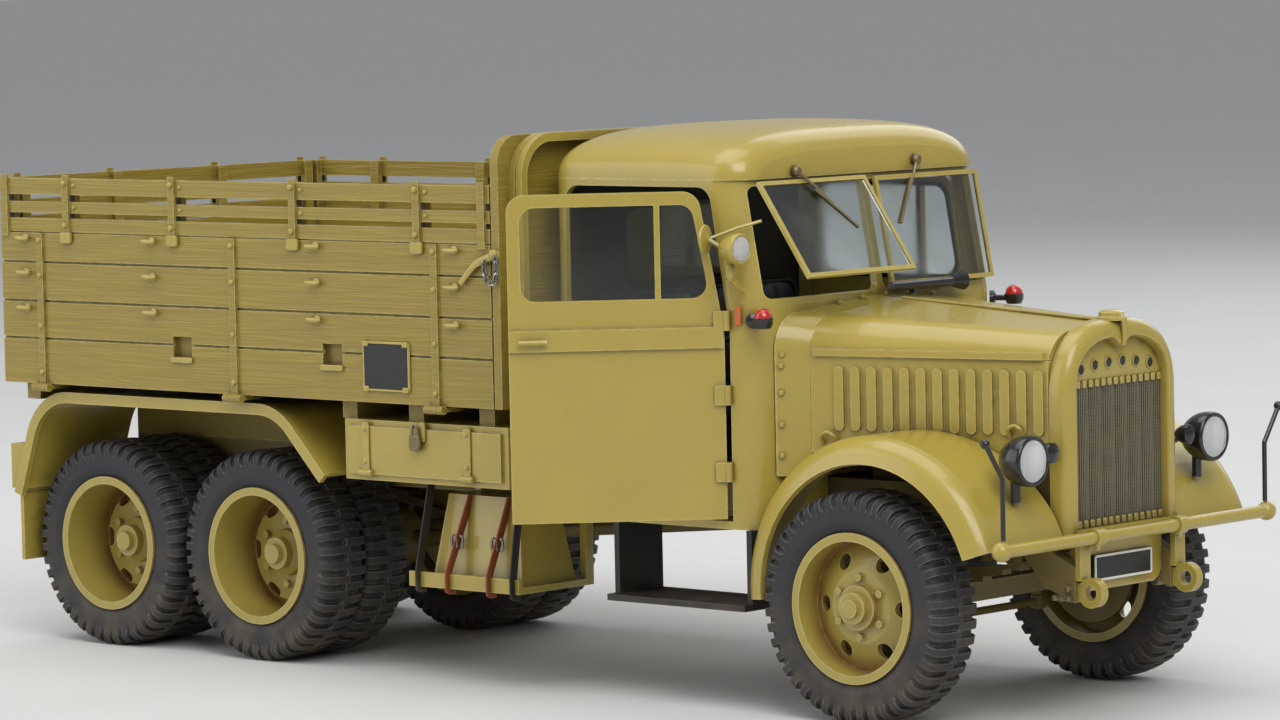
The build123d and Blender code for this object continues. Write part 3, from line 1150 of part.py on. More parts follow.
# Windscreen: the left half shut, the right half swung out on its top edge
LEAN = Vector(SCREEN_TOP_X - CAB_FRONT_X, 0, EAVES_Z - SCREEN_FOOT_Z).normalized()
PANE_T = 0.5
PANE_FRAME = 0.55
PANE_OPEN = 24.0             # angle of the open half from the shut one
PANE_HALF_W = SCREEN_HALF_W - SCREEN_BAR / 2 - 0.6
PANE_H = (SCREEN_TOP_Z - SCREEN_FOOT_Z) - 0.8
screen_top = Vector(SCREEN_TOP_X + 0.9, 0, SCREEN_TOP_Z + 0.2)


def pane_plane(side, angle):
    """Plane of one windscreen half: Y down from its top edge, Z forwards."""
    turn = radians(angle)
    down = Vector(-LEAN.X * cos(turn) + LEAN.Z * sin(turn), 0, -LEAN.Z * cos(turn) - LEAN.X * sin(turn))
    across = Vector(0, -1, 0)
    return Plane(origin=screen_top + Vector(0, side * (SCREEN_HALF_W + SCREEN_BAR / 2) / 2, 0),
                 x_dir=across, z_dir=across.cross(down))


for node, solid in (("windscreen_frames", False), ("window_glass", True)):
    with BuildPart() as screen:
        for side, angle in ((RIGHT, PANE_OPEN), (LEFT, 0.0)):
            plane = pane_plane(side, angle)
            with BuildSketch(plane):
                with Locations((0, PANE_H / 2)):
                    if solid:
                        Rectangle(PANE_HALF_W - 2 * PANE_FRAME - FIT, PANE_H - 2 * PANE_FRAME - FIT)
                    else:
                        Rectangle(PANE_HALF_W, PANE_H)
                        Rectangle(PANE_HALF_W - 2 * PANE_FRAME, PANE_H - 2 * PANE_FRAME, mode=Mode.SUBTRACT)
            extrude(amount=(GLASS_T if solid else PANE_T))
        if solid:
            block((CAB_REAR_X + CAB_WALL, CAB_REAR_X + CAB_WALL + GLASS_T),
                  (-REAR_LIGHT[0] / 2 - 0.5, REAR_LIGHT[0] / 2 + 0.5),
                  (REAR_LIGHT[2] - REAR_LIGHT[1] / 2 - 0.5, REAR_LIGHT[2] + REAR_LIGHT[1] / 2 + 0.5))
    write(screen, node)

# Small fittings on the cab: indicators, horn, searchlight and mirror
INDICATOR = (CAB_FRONT_X + 1.6, CAB_HALF_W + 0.6, 48.0)
INDICATOR_R = 1.25
with BuildPart() as indicators:
    for side in (RIGHT, LEFT):
        with Locations((INDICATOR[0], side * INDICATOR[1], INDICATOR[2])):
            Sphere(INDICATOR_R)
        rod((INDICATOR[0], side * INDICATOR[1], INDICATOR[2]),
            (CAB_FRONT_X - 1.3, side * (CAB_HALF_W - 0.9), INDICATOR[2] - 0.2), 0.35)
write(indicators, "indicators")

HORN = (CAB_FRONT_X + 2.3, SCUTTLE_Z + 0.9)      # x, z
with BuildPart() as horn:
    rod((HORN[0], -1.0, HORN[1]), (HORN[0], 11.0, HORN[1]), 0.6)
    with Locations(Plane(origin=(HORN[0], 12.0, HORN[1]), z_dir=(0, 1, 0))):
        Cone(0.6, 1.2, 2.4)
    block((HORN[0] - 0.4, HORN[0] + 0.4), (3.0, 4.0), (SCUTTLE_Z - 0.1, HORN[1]))
write(horn, "horn")

SPOT = (44.6, CAB_HALF_W + 2.4, 56.5)
MIRROR = (41.2, CAB_HALF_W + 3.6, 57.7)
with BuildPart() as searchlight:
    with Locations(Plane(origin=(SPOT[0], -SPOT[1], SPOT[2]), z_dir=(1, 0, 0))):
        Cone(0.7, 1.7, 2.2)
    rod((SPOT[0] - 0.6, -SPOT[1], SPOT[2]), (SCREEN_TOP_X - 0.2, -CAB_HALF_W + 0.2, SPOT[2]), 0.35)
    rod((SPOT[0] - 0.9, -SPOT[1], SPOT[2]), (MIRROR[0], -MIRROR[1], MIRROR[2]), 0.3)
    with Locations(Plane(origin=(MIRROR[0], -MIRROR[1], MIRROR[2]), z_dir=(1, 0.3, 0))):
        Cylinder(1.6, 0.5)
write(searchlight, "searchlight")
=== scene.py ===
"""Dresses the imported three-axle cargo truck model: finishes, tyres, bench, fittings, camera and light."""

import logging
import math
from dataclasses import dataclass, field
from enum import Enum

import bmesh
import bpy
import numpy as np
from mathutils import Matrix


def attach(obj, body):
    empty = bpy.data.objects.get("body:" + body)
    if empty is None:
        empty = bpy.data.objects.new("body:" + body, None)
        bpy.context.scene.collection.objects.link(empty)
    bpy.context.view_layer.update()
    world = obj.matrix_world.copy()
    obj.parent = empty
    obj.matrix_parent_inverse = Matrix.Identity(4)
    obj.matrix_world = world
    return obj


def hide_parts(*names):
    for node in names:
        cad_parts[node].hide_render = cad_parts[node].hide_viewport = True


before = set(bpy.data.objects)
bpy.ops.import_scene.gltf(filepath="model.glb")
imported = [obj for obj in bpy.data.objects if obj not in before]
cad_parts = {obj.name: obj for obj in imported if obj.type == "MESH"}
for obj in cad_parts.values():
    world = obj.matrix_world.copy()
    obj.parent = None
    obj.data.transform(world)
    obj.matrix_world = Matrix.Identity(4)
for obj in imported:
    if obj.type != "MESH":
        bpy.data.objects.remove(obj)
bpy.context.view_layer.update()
LOG = logging.getLogger("truck")
MM = 0.001
RIGHT, LEFT = -1, 1
SIDES = {RIGHT: "right", LEFT: "left"}
SMOOTH_ANGLE = math.radians(38)
ORIGIN = (0, 0, 0)
X_WAY, Y_WAY, Z_WAY = (1, 0, 0), (0, 1, 0), (0, 0, 1)
OUT_RIGHT = (0, -1, 0)


def linear(red: int, green: int, blue: int) -> tuple[float, float, float, float]:
    """Turns an 8-bit display colour into the linear colour that shaders read.

    Args:
        red, green, blue: display values from 0 to 255.

    Returns:
        Linear red, green, blue and an alpha of 1.
    """
    share = np.array([red, green, blue]) / 255
    value = np.where(share <= 0.04045, share / 12.92, ((share + 0.055) / 1.055) ** 2.4)
    return (*value.tolist(), 1.0)


@dataclass
class Surface:
    """Points in mm, the quads between them, and flat caps of any number of corners."""

    points: np.ndarray
    quads: np.ndarray
    caps: list[np.ndarray] = field(default_factory=list)

    def __add__(self, other: "Surface") -> "Surface":
        """Puts two surfaces into one, the second one's indices shifted past the first's."""
        shift = len(self.points)
        return Surface(np.vstack([self.points, other.points]),
                       np.vstack([self.quads, other.quads + shift]),
                       self.caps + [cap + shift for cap in other.caps])

    def moved(self, *offset: float) -> "Surface":
        """Returns the surface shifted by an offset in mm."""
        return Surface(self.points + np.array(offset), self.quads, self.caps)

    def turned(self, axis: str, degrees: float, about: tuple[float, float, float] = ORIGIN) -> "Surface":
        """Turns the surface about an axis through a point.

        Args:
            axis: "X", "Y" or "Z".
            degrees: right-hand turn.
            about: a point on the axis.

        Returns:
            The turned surface.
        """
        turn = np.array(Matrix.Rotation(math.radians(degrees), 3, axis))
        centre = np.array(about)
        return Surface((self.points - centre) @ turn.T + centre, self.quads, self.caps)

    def mirrored(self) -> "Surface":
        """Returns the surface mirrored to the other side of the truck, y for -y."""
        return Surface(self.points * np.array([1, -1, 1]), self.quads, self.caps)

    def on(self, side: int) -> "Surface":
        """Returns a surface of the right side as it is, or mirrored for the left."""
        return self if side == RIGHT else self.mirrored()


def joined(surfaces: list[Surface]) -> Surface:
    """Adds up a list of surfaces."""
    total = surfaces[0]
    for extra in surfaces[1:]:
        total = total + extra
    return total


def grid(points: np.ndarray, close_u: bool = False, close_v: bool = False, capped: bool = False) -> Surface:
    """Joins a grid of points by quads.

    Args:
        points: array [u, v, xyz] in mm.
        close_u, close_v: whether the last row or column joins the first.
        capped: whether the first and last rows, closed loops in v, are filled by flat caps.

    Returns:
        The surface over the grid.
    """
    rows, columns = points.shape[:2]
    index = np.arange(rows * columns).reshape(rows, columns)
    caps = [index[0][::-1], index[-1]] if capped else []
    if close_u:
        index = np.vstack([index, index[:1]])
    if close_v:
        index = np.hstack([index, index[:, :1]])
    quads = np.stack([index[:-1, :-1], index[1:, :-1], index[1:, 1:], index[:-1, 1:]], -1)
    return Surface(points.reshape(-1, 3), quads.reshape(-1, 4), caps)


def signed_power(value: np.ndarray, power: float) -> np.ndarray:
    """Raises the size of a value to a power and keeps its sign."""
    return np.sign(value) * np.abs(value) ** power


def circle(radius: float, count: int) -> np.ndarray:
    """Points evenly round a circle: (r cos a, r sin a)."""
    angle = np.linspace(0, 2 * np.pi, count, endpoint=False)
    return radius * np.stack([np.cos(angle), np.sin(angle)], -1)


def rounded(width: float, height: float, radius: float, steps: int = 3) -> np.ndarray:
    """Outline of a rectangle with rounded corners, centred, anticlockwise.

    A quarter circle of the radius sits in each corner: corner centre + r (cos a, sin a).

    Args:
        width, height: outer sizes in mm.
        radius: corner radius in mm.
        steps: points in each corner.

    Returns:
        Array of 2-D points.
    """
    quarter = np.linspace(0, np.pi / 2, steps)
    corners = np.array([[1, 1], [-1, 1], [-1, -1], [1, -1]]) * (np.array([width, height]) / 2 - radius)
    turn = np.arange(4)[:, None] * np.pi / 2 + quarter[None, :]
    arc = radius * np.stack([np.cos(turn), np.sin(turn)], -1)
    return (corners[:, None, :] + arc).reshape(-1, 2)


def basis(direction: np.ndarray, up: tuple[float, float, float] = Z_WAY) -> tuple[np.ndarray, np.ndarray]:
    """Two unit vectors across a direction, for one direction or an array of them.

    Args:
        direction: unit vectors [..., 3].
        up: the way the second vector leans.

    Returns:
        The vector to the side, and the one nearest to up.
    """
    lean = np.array(up, float)
    if np.abs(direction @ lean).max() > 0.98:
        lean = np.array([1.0, 0, 0]) if abs(lean[0]) < 0.5 else np.array([0, 1.0, 0])
    side = np.cross(direction, lean)
    side = side / np.linalg.norm(side, axis=-1, keepdims=True)
    return side, np.cross(side, direction)


def sweep(profile: np.ndarray, path: list | np.ndarray, up: tuple[float, float, float] = Z_WAY,
          size: np.ndarray | None = None, closed: bool = False) -> Surface:
    """Carries a closed profile along a path: point = path + x side + y up, turned with the path.

    Args:
        profile: 2-D points of the section.
        path: 3-D points in mm.
        up: the way the section's y leans.
        size: a factor on the section at each path point.
        closed: whether the path is a loop.

    Returns:
        The swept solid, capped where the path has ends.
    """
    line = np.array(path, float)
    if closed:
        step = np.roll(line, -1, 0) - np.roll(line, 1, 0)
    else:
        step = np.gradient(line, axis=0)
    step /= np.linalg.norm(step, axis=1, keepdims=True)
    side, lean = basis(step, up)
    factor = np.ones(len(line)) if size is None else np.asarray(size)
    points = (line[:, None] + factor[:, None, None]
              * (profile[None, :, :1] * side[:, None] + profile[None, :, 1:] * lean[:, None]))
    return grid(points, close_u=closed, close_v=True, capped=not closed)


def wire(path: list | np.ndarray, radius: float, count: int = 10, closed: bool = False) -> Surface:
    """A round wire along a path, its ends slightly rounded in."""
    line = np.array(path, float)
    if closed:
        return sweep(circle(radius, count), line, closed=True)
    first = line[0] + (line[1] - line[0]) / np.linalg.norm(line[1] - line[0]) * radius * 0.3
    last = line[-1] + (line[-2] - line[-1]) / np.linalg.norm(line[-2] - line[-1]) * radius * 0.3
    path = np.vstack([line[:1], first, line[1:-1], last, line[-1:]])
    size = np.ones(len(path))
    size[[0, -1]] = 0.7
    return sweep(circle(radius, count), path, size=size)


def smooth_path(corners: list, steps: int = 6) -> np.ndarray:
    """A smooth line through corner points: Catmull-Rom cubic between each pair.

    Args:
        corners: 3-D points in mm.
        steps: points between two corners.

    Returns:
        Points along the curve.
    """
    knots = np.array(corners, float)
    knots = np.vstack([2 * knots[0] - knots[1], knots, 2 * knots[-1] - knots[-2]])
    t = np.linspace(0, 1, steps, endpoint=False)[None, :, None]
    a, b, c, d = (knots[i:len(knots) - 3 + i, None, :] for i in range(4))
    curve = 0.5 * (2 * b + (c - a) * t + (2 * a - 5 * b + 4 * c - d) * t ** 2 + (3 * b - a - 3 * c + d) * t ** 3)
    return np.vstack([curve.reshape(-1, 3), knots[-2]])


def slab(outline: np.ndarray, origin: tuple, across: tuple, up: tuple, depth: float,
         bevel: float = 0.1) -> Surface:
    """A plate of an outline, raised along across x up, its two rims bevelled.

    Four rings of the outline stand at depth 0, bevel, depth - bevel and depth. The outer two
    are drawn in towards the outline's middle by the bevel.

    Args:
        outline: 2-D points of the plate.
        origin: the plate's middle on its back face, in mm.
        across, up: unit vectors of the outline's x and y.
        depth: thickness in mm.
        bevel: width of the bevel in mm.

    Returns:
        The closed plate.
    """
    x, y = np.array(across, float), np.array(up, float)
    normal = np.cross(x, y)
    reach = np.abs(outline).max(0)
    drawn = outline * (1 - bevel / np.maximum(reach, bevel * 2))
    rings = [(drawn, 0.0), (outline, bevel), (outline, depth - bevel), (drawn, depth)]
    points = np.stack([np.array(origin) + ring[:, :1] * x + ring[:, 1:] * y + lift * normal
                       for ring, lift in rings])
    return grid(points, close_v=True, capped=True)


def wall_plate(width: float, height: float, radius: float, place: tuple, depth: float, bevel: float) -> Surface:
    """A bevelled plate with rounded corners, upright on a wall that faces the truck's right."""
    return slab(rounded(width, height, radius), place, X_WAY, Z_WAY, depth, bevel)


def lathe(profile: list | np.ndarray, origin: tuple, axis: tuple, count: int = 24) -> Surface:
    """Turns a profile about an axis: point = origin + h axis + r (cos a side + sin a up).

    Args:
        profile: pairs of radius and height along the axis, in mm.
        origin: where height 0 is on the axis.
        axis: direction of the axis.
        count: points round it.

    Returns:
        The turned surface, its ends capped.
    """
    section = np.array(profile, float)
    along = np.array(axis, float) / np.linalg.norm(axis)
    side, up = basis(along)
    ring = circle(1.0, count)
    spoke = ring[:, :1] * side + ring[:, 1:] * up
    points = np.array(origin) + section[:, None, 1:] * along + section[:, None, :1] * spoke[None]
    return grid(points, close_v=True, capped=True)


def dome(radius: float, height: float, steps: int = 4) -> list[tuple[float, float]]:
    """Profile of a low dome on a straight foot: (r cos a, h sin a)."""
    angle = np.linspace(0, np.pi / 2 * 0.94, steps)
    return [(radius, -0.15)] + list(zip(radius * np.cos(angle), height * np.sin(angle)))


def scattered(template: Surface, places: np.ndarray) -> Surface:
    """Copies a small surface to each of many places, as one array sum.

    Args:
        template: the surface round the origin.
        places: array [n, 3] in mm.

    Returns:
        All the copies as one surface.
    """
    count, size = len(places), len(template.points)
    points = (places[:, None, :] + template.points[None]).reshape(-1, 3)
    shift = np.arange(count) * size
    quads = (template.quads[None] + shift[:, None, None]).reshape(-1, 4)
    return Surface(points, quads, [cap + step for step in shift for cap in template.caps])


def heads(places: list | np.ndarray, axis: tuple, radius: float, height: float, count: int = 8) -> Surface:
    """Bolt or rivet heads, low domes along an axis, at many places."""
    return scattered(lathe(dome(radius, height, 3), ORIGIN, axis, count), np.array(places, float))


def put(name: str, surface: Surface, finish: str, body: str = "truck",
        replaces: tuple[str, ...] = (), recalc: bool = True) -> bpy.types.Object:
    """Makes a piece from a surface, finishes it and lets it ride on a body.

    Args:
        name: the piece's name.
        surface: its points in mm and faces.
        finish: key of its finish.
        body: the CAD body it moves with.
        replaces: CAD nodes that it stands for.
        recalc: whether the faces are turned outwards.

    Returns:
        The new object.
    """
    mesh = bpy.data.meshes.new(name)
    faces = surface.quads.tolist() + [cap.tolist() for cap in surface.caps]
    mesh.from_pydata((surface.points * MM).tolist(), [], faces)
    if recalc:
        work = bmesh.new()
        work.from_mesh(mesh)
        bmesh.ops.recalc_face_normals(work, faces=work.faces)
        work.to_mesh(mesh)
        work.free()
    mesh.polygons.foreach_set("use_smooth", np.ones(len(mesh.polygons), bool))
    mesh.set_sharp_from_angle(angle=SMOOTH_ANGLE)
    mesh.materials.append(MATERIALS[finish])
    mesh.update()
    piece = bpy.data.objects.new(name, mesh)
    bpy.context.scene.collection.objects.link(piece)
    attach(piece, body)
    if replaces:
        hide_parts(*replaces)
    LOG.info("%s: %d faces on %s", name, len(faces), body)
    return piece


class Web:
    """A node tree being wired: adds nodes, sets their sockets and links them."""

    def __init__(self, tree: bpy.types.NodeTree) -> None:
        """Keeps the tree, emptied."""
        self.tree = tree
        tree.nodes.clear()

    def add(self, kind: str, inputs: dict | None = None, **settings) -> bpy.types.Node:
        """Adds a node.

        Args:
            kind: the node's type name.
            inputs: socket name or number to a value, or to a socket that is linked in.
            settings: the node's own properties.

        Returns:
            The node.
        """
        node = self.tree.nodes.new(kind)
        for key, value in settings.items():
            setattr(node, key, value)
        for key, value in (inputs or {}).items():
            if isinstance(value, bpy.types.NodeSocket):
                self.tree.links.new(value, node.inputs[key])
            else:
                node.inputs[key].default_value = value
        return node

    def math(self, operation: str, first, second=0.0) -> bpy.types.NodeSocket:
        """One sum on two numbers or sockets."""
        return self.add("ShaderNodeMath", {0: first, 1: second}, operation=operation).outputs[0]

    def mix(self, share, first, second) -> bpy.types.NodeSocket:
        """Blends two colours by a share."""
        return self.add("ShaderNodeMix", {0: share, 6: first, 7: second}, data_type="RGBA").outputs[2]

    def span(self, value, low: float, high: float, start: float = 0.0, end: float = 1.0) -> bpy.types.NodeSocket:
        """Maps a value from one range to another, clamped."""
        return self.add("ShaderNodeMapRange", {0: value, 1: low, 2: high, 3: start, 4: end}).outputs[0]

    def place(self) -> bpy.types.NodeSocket:
        """The piece's own coordinates in metres."""
        return self.add("ShaderNodeTexCoord").outputs["Object"]

    def noise(self, scale, detail: float = 3.0, where=None) -> bpy.types.NodeSocket:
        """Cloudy noise in the piece's own coordinates."""
        return self.add("ShaderNodeTexNoise", {"Vector": where or self.place(), "Scale": scale,
                                               "Detail": detail}).outputs["Fac"]


def shared_group(name: str, inputs: dict[str, float],
                 outputs: tuple[str, ...]) -> tuple[Web, bpy.types.Node, bpy.types.Node]:
    """Starts a shader group that several materials share.

    Args:
        name: the group's name.
        inputs: number sockets and their usual values.
        outputs: number sockets that it puts out.

    Returns:
        The wiring helper, the group's input node and its output node.
    """
    tree = bpy.data.node_groups.new(name, "ShaderNodeTree")
    web = Web(tree)
    for label, value in inputs.items():
        socket = tree.interface.new_socket(label, in_out="INPUT", socket_type="NodeSocketFloat")
        socket.default_value = value
    for label in outputs:
        tree.interface.new_socket(label, in_out="OUTPUT", socket_type="NodeSocketFloat")
    return web, web.add("NodeGroupInput"), web.add("NodeGroupOutput")


def edge_wear_group() -> bpy.types.NodeTree:
    """Mask of outer edges: how far a bevelled normal leans from the true one, broken up by noise."""
    web, given, result = shared_group("edge_wear", {"Radius": 0.0004, "Grit": 900.0}, ("Mask",))
    soft = web.add("ShaderNodeBevel", {"Radius": given.outputs["Radius"]}, samples=4)
    true = web.add("ShaderNodeNewGeometry")
    lean = web.add("ShaderNodeVectorMath", {0: soft.outputs[0], 1: true.outputs["Normal"]},
                   operation="DOT_PRODUCT")
    edge = web.span(lean.outputs["Value"], 0.99, 0.8)
    grit = web.span(web.noise(given.outputs["Grit"]), 0.38, 0.62, 0.25, 1.0)
    web.tree.links.new(web.math("MULTIPLY", edge, grit), result.inputs["Mask"])
    return web.tree


def recess_wash_shade_group() -> bpy.types.NodeTree:
    """Mask of recesses for a wash and painted shade: the share of near surroundings that is closed, found by
    ambient occlusion and broken up by noise.
    """
    web, given, result = shared_group("recess_wash_and_shade", {"Distance": 0.003, "Grit": 500.0}, ("Mask",))
    # ambient occlusion puts the darkening where shade falls: painted shade along with the wash
    open_sky = web.add("ShaderNodeAmbientOcclusion", {"Distance": given.outputs["Distance"]}, samples=6)
    closed = web.span(open_sky.outputs["AO"], 0.85, 0.3)
    grit = web.span(web.noise(given.outputs["Grit"]), 0.3, 0.7, 0.55, 1.0)
    web.tree.links.new(web.math("MULTIPLY", closed, grit), result.inputs["Mask"])
    return web.tree


def mottle_group() -> bpy.types.NodeTree:
    """Uneven coverage: broad clouds times fine speckle."""
    web, given, result = shared_group("mottle", {"Scale": 120.0}, ("Mask", "Speckle"))
    broad = web.span(web.noise(given.outputs["Scale"], 4.0), 0.3, 0.7)
    fine = web.noise(web.math("MULTIPLY", given.outputs["Scale"], 22.0), 2.0)
    web.tree.links.new(broad, result.inputs["Mask"])
    web.tree.links.new(fine, result.inputs["Speckle"])
    return web.tree


def dust_group() -> bpy.types.NodeTree:
    """Road dust: full at the ground and gone at a height, broken up by noise."""
    web, given, result = shared_group("road_dust", {"Top": 0.02, "Grit": 260.0}, ("Mask",))
    height = web.add("ShaderNodeSeparateXYZ", {0: web.place()}).outputs["Z"]
    share = web.math("SUBTRACT", 1.0, web.math("DIVIDE", height, given.outputs["Top"]))
    grit = web.span(web.noise(given.outputs["Grit"], 5.0), 0.35, 0.7)
    web.tree.links.new(web.math("MULTIPLY", web.span(share, 0.0, 1.0), grit), result.inputs["Mask"])
    return web.tree


class GrainWay(Enum):
    """Which way a board's grain runs: the noise is stretched along that axis."""

    LENGTHWISE = (70.0, 1700.0, 1700.0)
    CROSSWISE = (1700.0, 70.0, 1700.0)


GROUPS = {"edge": edge_wear_group(), "wash_and_shade": recess_wash_shade_group(), "mottle": mottle_group(), "dust": dust_group()}


@dataclass(frozen=True)
class Paint:
    """A painted, dry-brushed and washed finish, as a model maker lays it on, with painted shade darkening its
    recesses.
    """

    name: str
    colour: tuple
    edge: tuple
    wash_and_shade_colour: tuple
    roughness: float = 0.42
    metallic: float = 0.0
    wear: float = 0.5
    shade_wash_strength: float = 0.7
    uneven: float = 0.25
    dusty: float = 0.35
    edge_mm: float = 0.35
    bump: float = 0.08
    coat: float = 0.0

    def group(self, web: Web, kind: str, **values: float) -> bpy.types.Node:
        """Places a shared group with this finish's own values."""
        node = web.add("ShaderNodeGroup", node_tree=GROUPS[kind])
        for label, value in values.items():
            node.inputs[label].default_value = value
        return node

    def tint(self, web: Web) -> tuple[bpy.types.NodeSocket, bpy.types.NodeSocket]:
        """Colour and height of the coat before wear and grime.

        Args:
            web: the material's wiring.

        Returns:
            The colour socket and the height socket.
        """
        mottle = self.group(web, "mottle")
        deep = tuple(0.72 * part for part in self.colour[:3]) + (1.0,)
        share = web.math("MULTIPLY", mottle.outputs["Mask"], self.uneven)
        return web.mix(share, self.colour, deep), mottle.outputs["Speckle"]

    def material(self) -> bpy.types.Material:
        """Wires the finish: coat, a wash with painted shade in recesses, road dust, edge wear, roughness and bump.

        Returns:
            The material.
        """
        made = bpy.data.materials.new(self.name)
        made.use_nodes = True
        web = Web(made.node_tree)
        colour, height = self.tint(web)
        wash_and_shade = self.group(web, "wash_and_shade").outputs["Mask"]
        edge = self.group(web, "edge", Radius=self.edge_mm * MM).outputs["Mask"]
        dust = self.group(web, "dust").outputs["Mask"]
        # painted shade: the wash colour darkens recesses found by ambient occlusion, together with the model's
        # wash; on the wheels that colour is rust
        colour = web.mix(web.math("MULTIPLY", wash_and_shade, self.shade_wash_strength), colour, self.wash_and_shade_colour)
        colour = web.mix(web.math("MULTIPLY", dust, self.dusty), colour, linear(128, 112, 78))
        colour = web.mix(web.math("MULTIPLY", edge, self.wear), colour, self.edge)
        rough = web.math("ADD", web.math("MULTIPLY", height, 0.16), self.roughness - 0.08)
        rough = web.math("ADD", rough, web.math("MULTIPLY", wash_and_shade, 0.25))
        relief = web.add("ShaderNodeBump", {"Strength": self.bump, "Distance": 0.0002, "Height": height})
        shader = web.add("ShaderNodeBsdfPrincipled", {
            "Base Color": colour, "Roughness": rough, "Metallic": self.metallic, "Coat Weight": self.coat,
            "Normal": relief.outputs[0]})
        web.add("ShaderNodeOutputMaterial", {"Surface": shader.outputs[0]})
        return made


@dataclass(frozen=True)
class Wood(Paint):
    """Painted boards whose grain shows through."""

    way: GrainWay = GrainWay.LENGTHWISE
    streak: tuple = (0.1, 0.07, 0.02, 1.0)

    def tint(self, web: Web) -> tuple[bpy.types.NodeSocket, bpy.types.NodeSocket]:
        """Grain: noise stretched along the board, bent by a broad wave, darkens thin streaks."""
        stretched = web.add("ShaderNodeMapping", {"Vector": web.place(), "Scale": self.way.value}).outputs[0]
        fibre = web.noise(1.0, 6.0, stretched)
        rings = web.noise(0.32, 2.0, stretched)
        lines = web.span(web.math("PINGPONG", web.math("MULTIPLY", rings, 9.0), 0.5), 0.1, 0.5)
        grain = web.math("MULTIPLY", web.span(fibre, 0.3, 0.62), web.span(lines, 0.0, 1.0, 0.45, 1.0))
        patch = self.group(web, "mottle", Scale=90.0).outputs["Mask"]
        colour = web.mix(grain, self.streak, self.colour)
        deep = tuple(0.8 * part for part in self.colour[:3]) + (1.0,)
        return web.mix(web.math("MULTIPLY", patch, self.uneven), colour, deep), grain


@dataclass(frozen=True)
class Leather(Paint):
    """Dark hide: small cells with worn high spots."""

    def tint(self, web: Web) -> tuple[bpy.types.NodeSocket, bpy.types.NodeSocket]:
        """Grain of small cells from a Voronoi pattern, and pale scuffs from broad noise."""
        cells = web.add("ShaderNodeTexVoronoi", {"Vector": web.place(), "Scale": 2600.0}).outputs["Distance"]
        scuff = web.span(web.noise(150.0, 6.0), 0.52, 0.7)
        return web.mix(web.math("MULTIPLY", scuff, 0.6), self.colour, linear(104, 106, 116)), cells


@dataclass(frozen=True)
class Glass:
    """Clear sheet or lens with a faint haze; where less than all light goes through, the rest shows as diffuse
    pale colour, a painted reflection.
    """

    name: str
    colour: tuple
    roughness: float = 0.03
    clear: float = 1.0
    ribs: float = 0.0

    def material(self) -> bpy.types.Material:
        """Wires a see-through shader whose roughness varies with smears.

        Returns:
            The material.
        """
        made = bpy.data.materials.new(self.name)
        made.use_nodes = True
        web = Web(made.node_tree)
        smear = web.span(web.noise(90.0, 5.0), 0.45, 0.75, self.roughness, self.roughness + 0.16)
        tone = web.mix(web.span(web.noise(160.0, 5.0), 0.5, 0.8, 0.0, 0.5), self.colour, linear(205, 205, 198))
        # where clear is below 1 the rest is diffuse base colour: painted reflection on the lamp lenses
        inputs = {"Base Color": tone, "Roughness": smear, "Transmission Weight": self.clear, "IOR": 1.45}
        if self.ribs:
            across = web.add("ShaderNodeSeparateXYZ", {0: web.place()}).outputs["Y"]
            wave = web.math("SINE", web.math("MULTIPLY", across, 9000.0))
            inputs["Normal"] = web.add("ShaderNodeBump", {"Strength": self.ribs, "Distance": 0.0003,
                                                          "Height": wave}).outputs[0]
        shader = web.add("ShaderNodeBsdfPrincipled", inputs)
        web.add("ShaderNodeOutputMaterial", {"Surface": shader.outputs[0]})
        return made


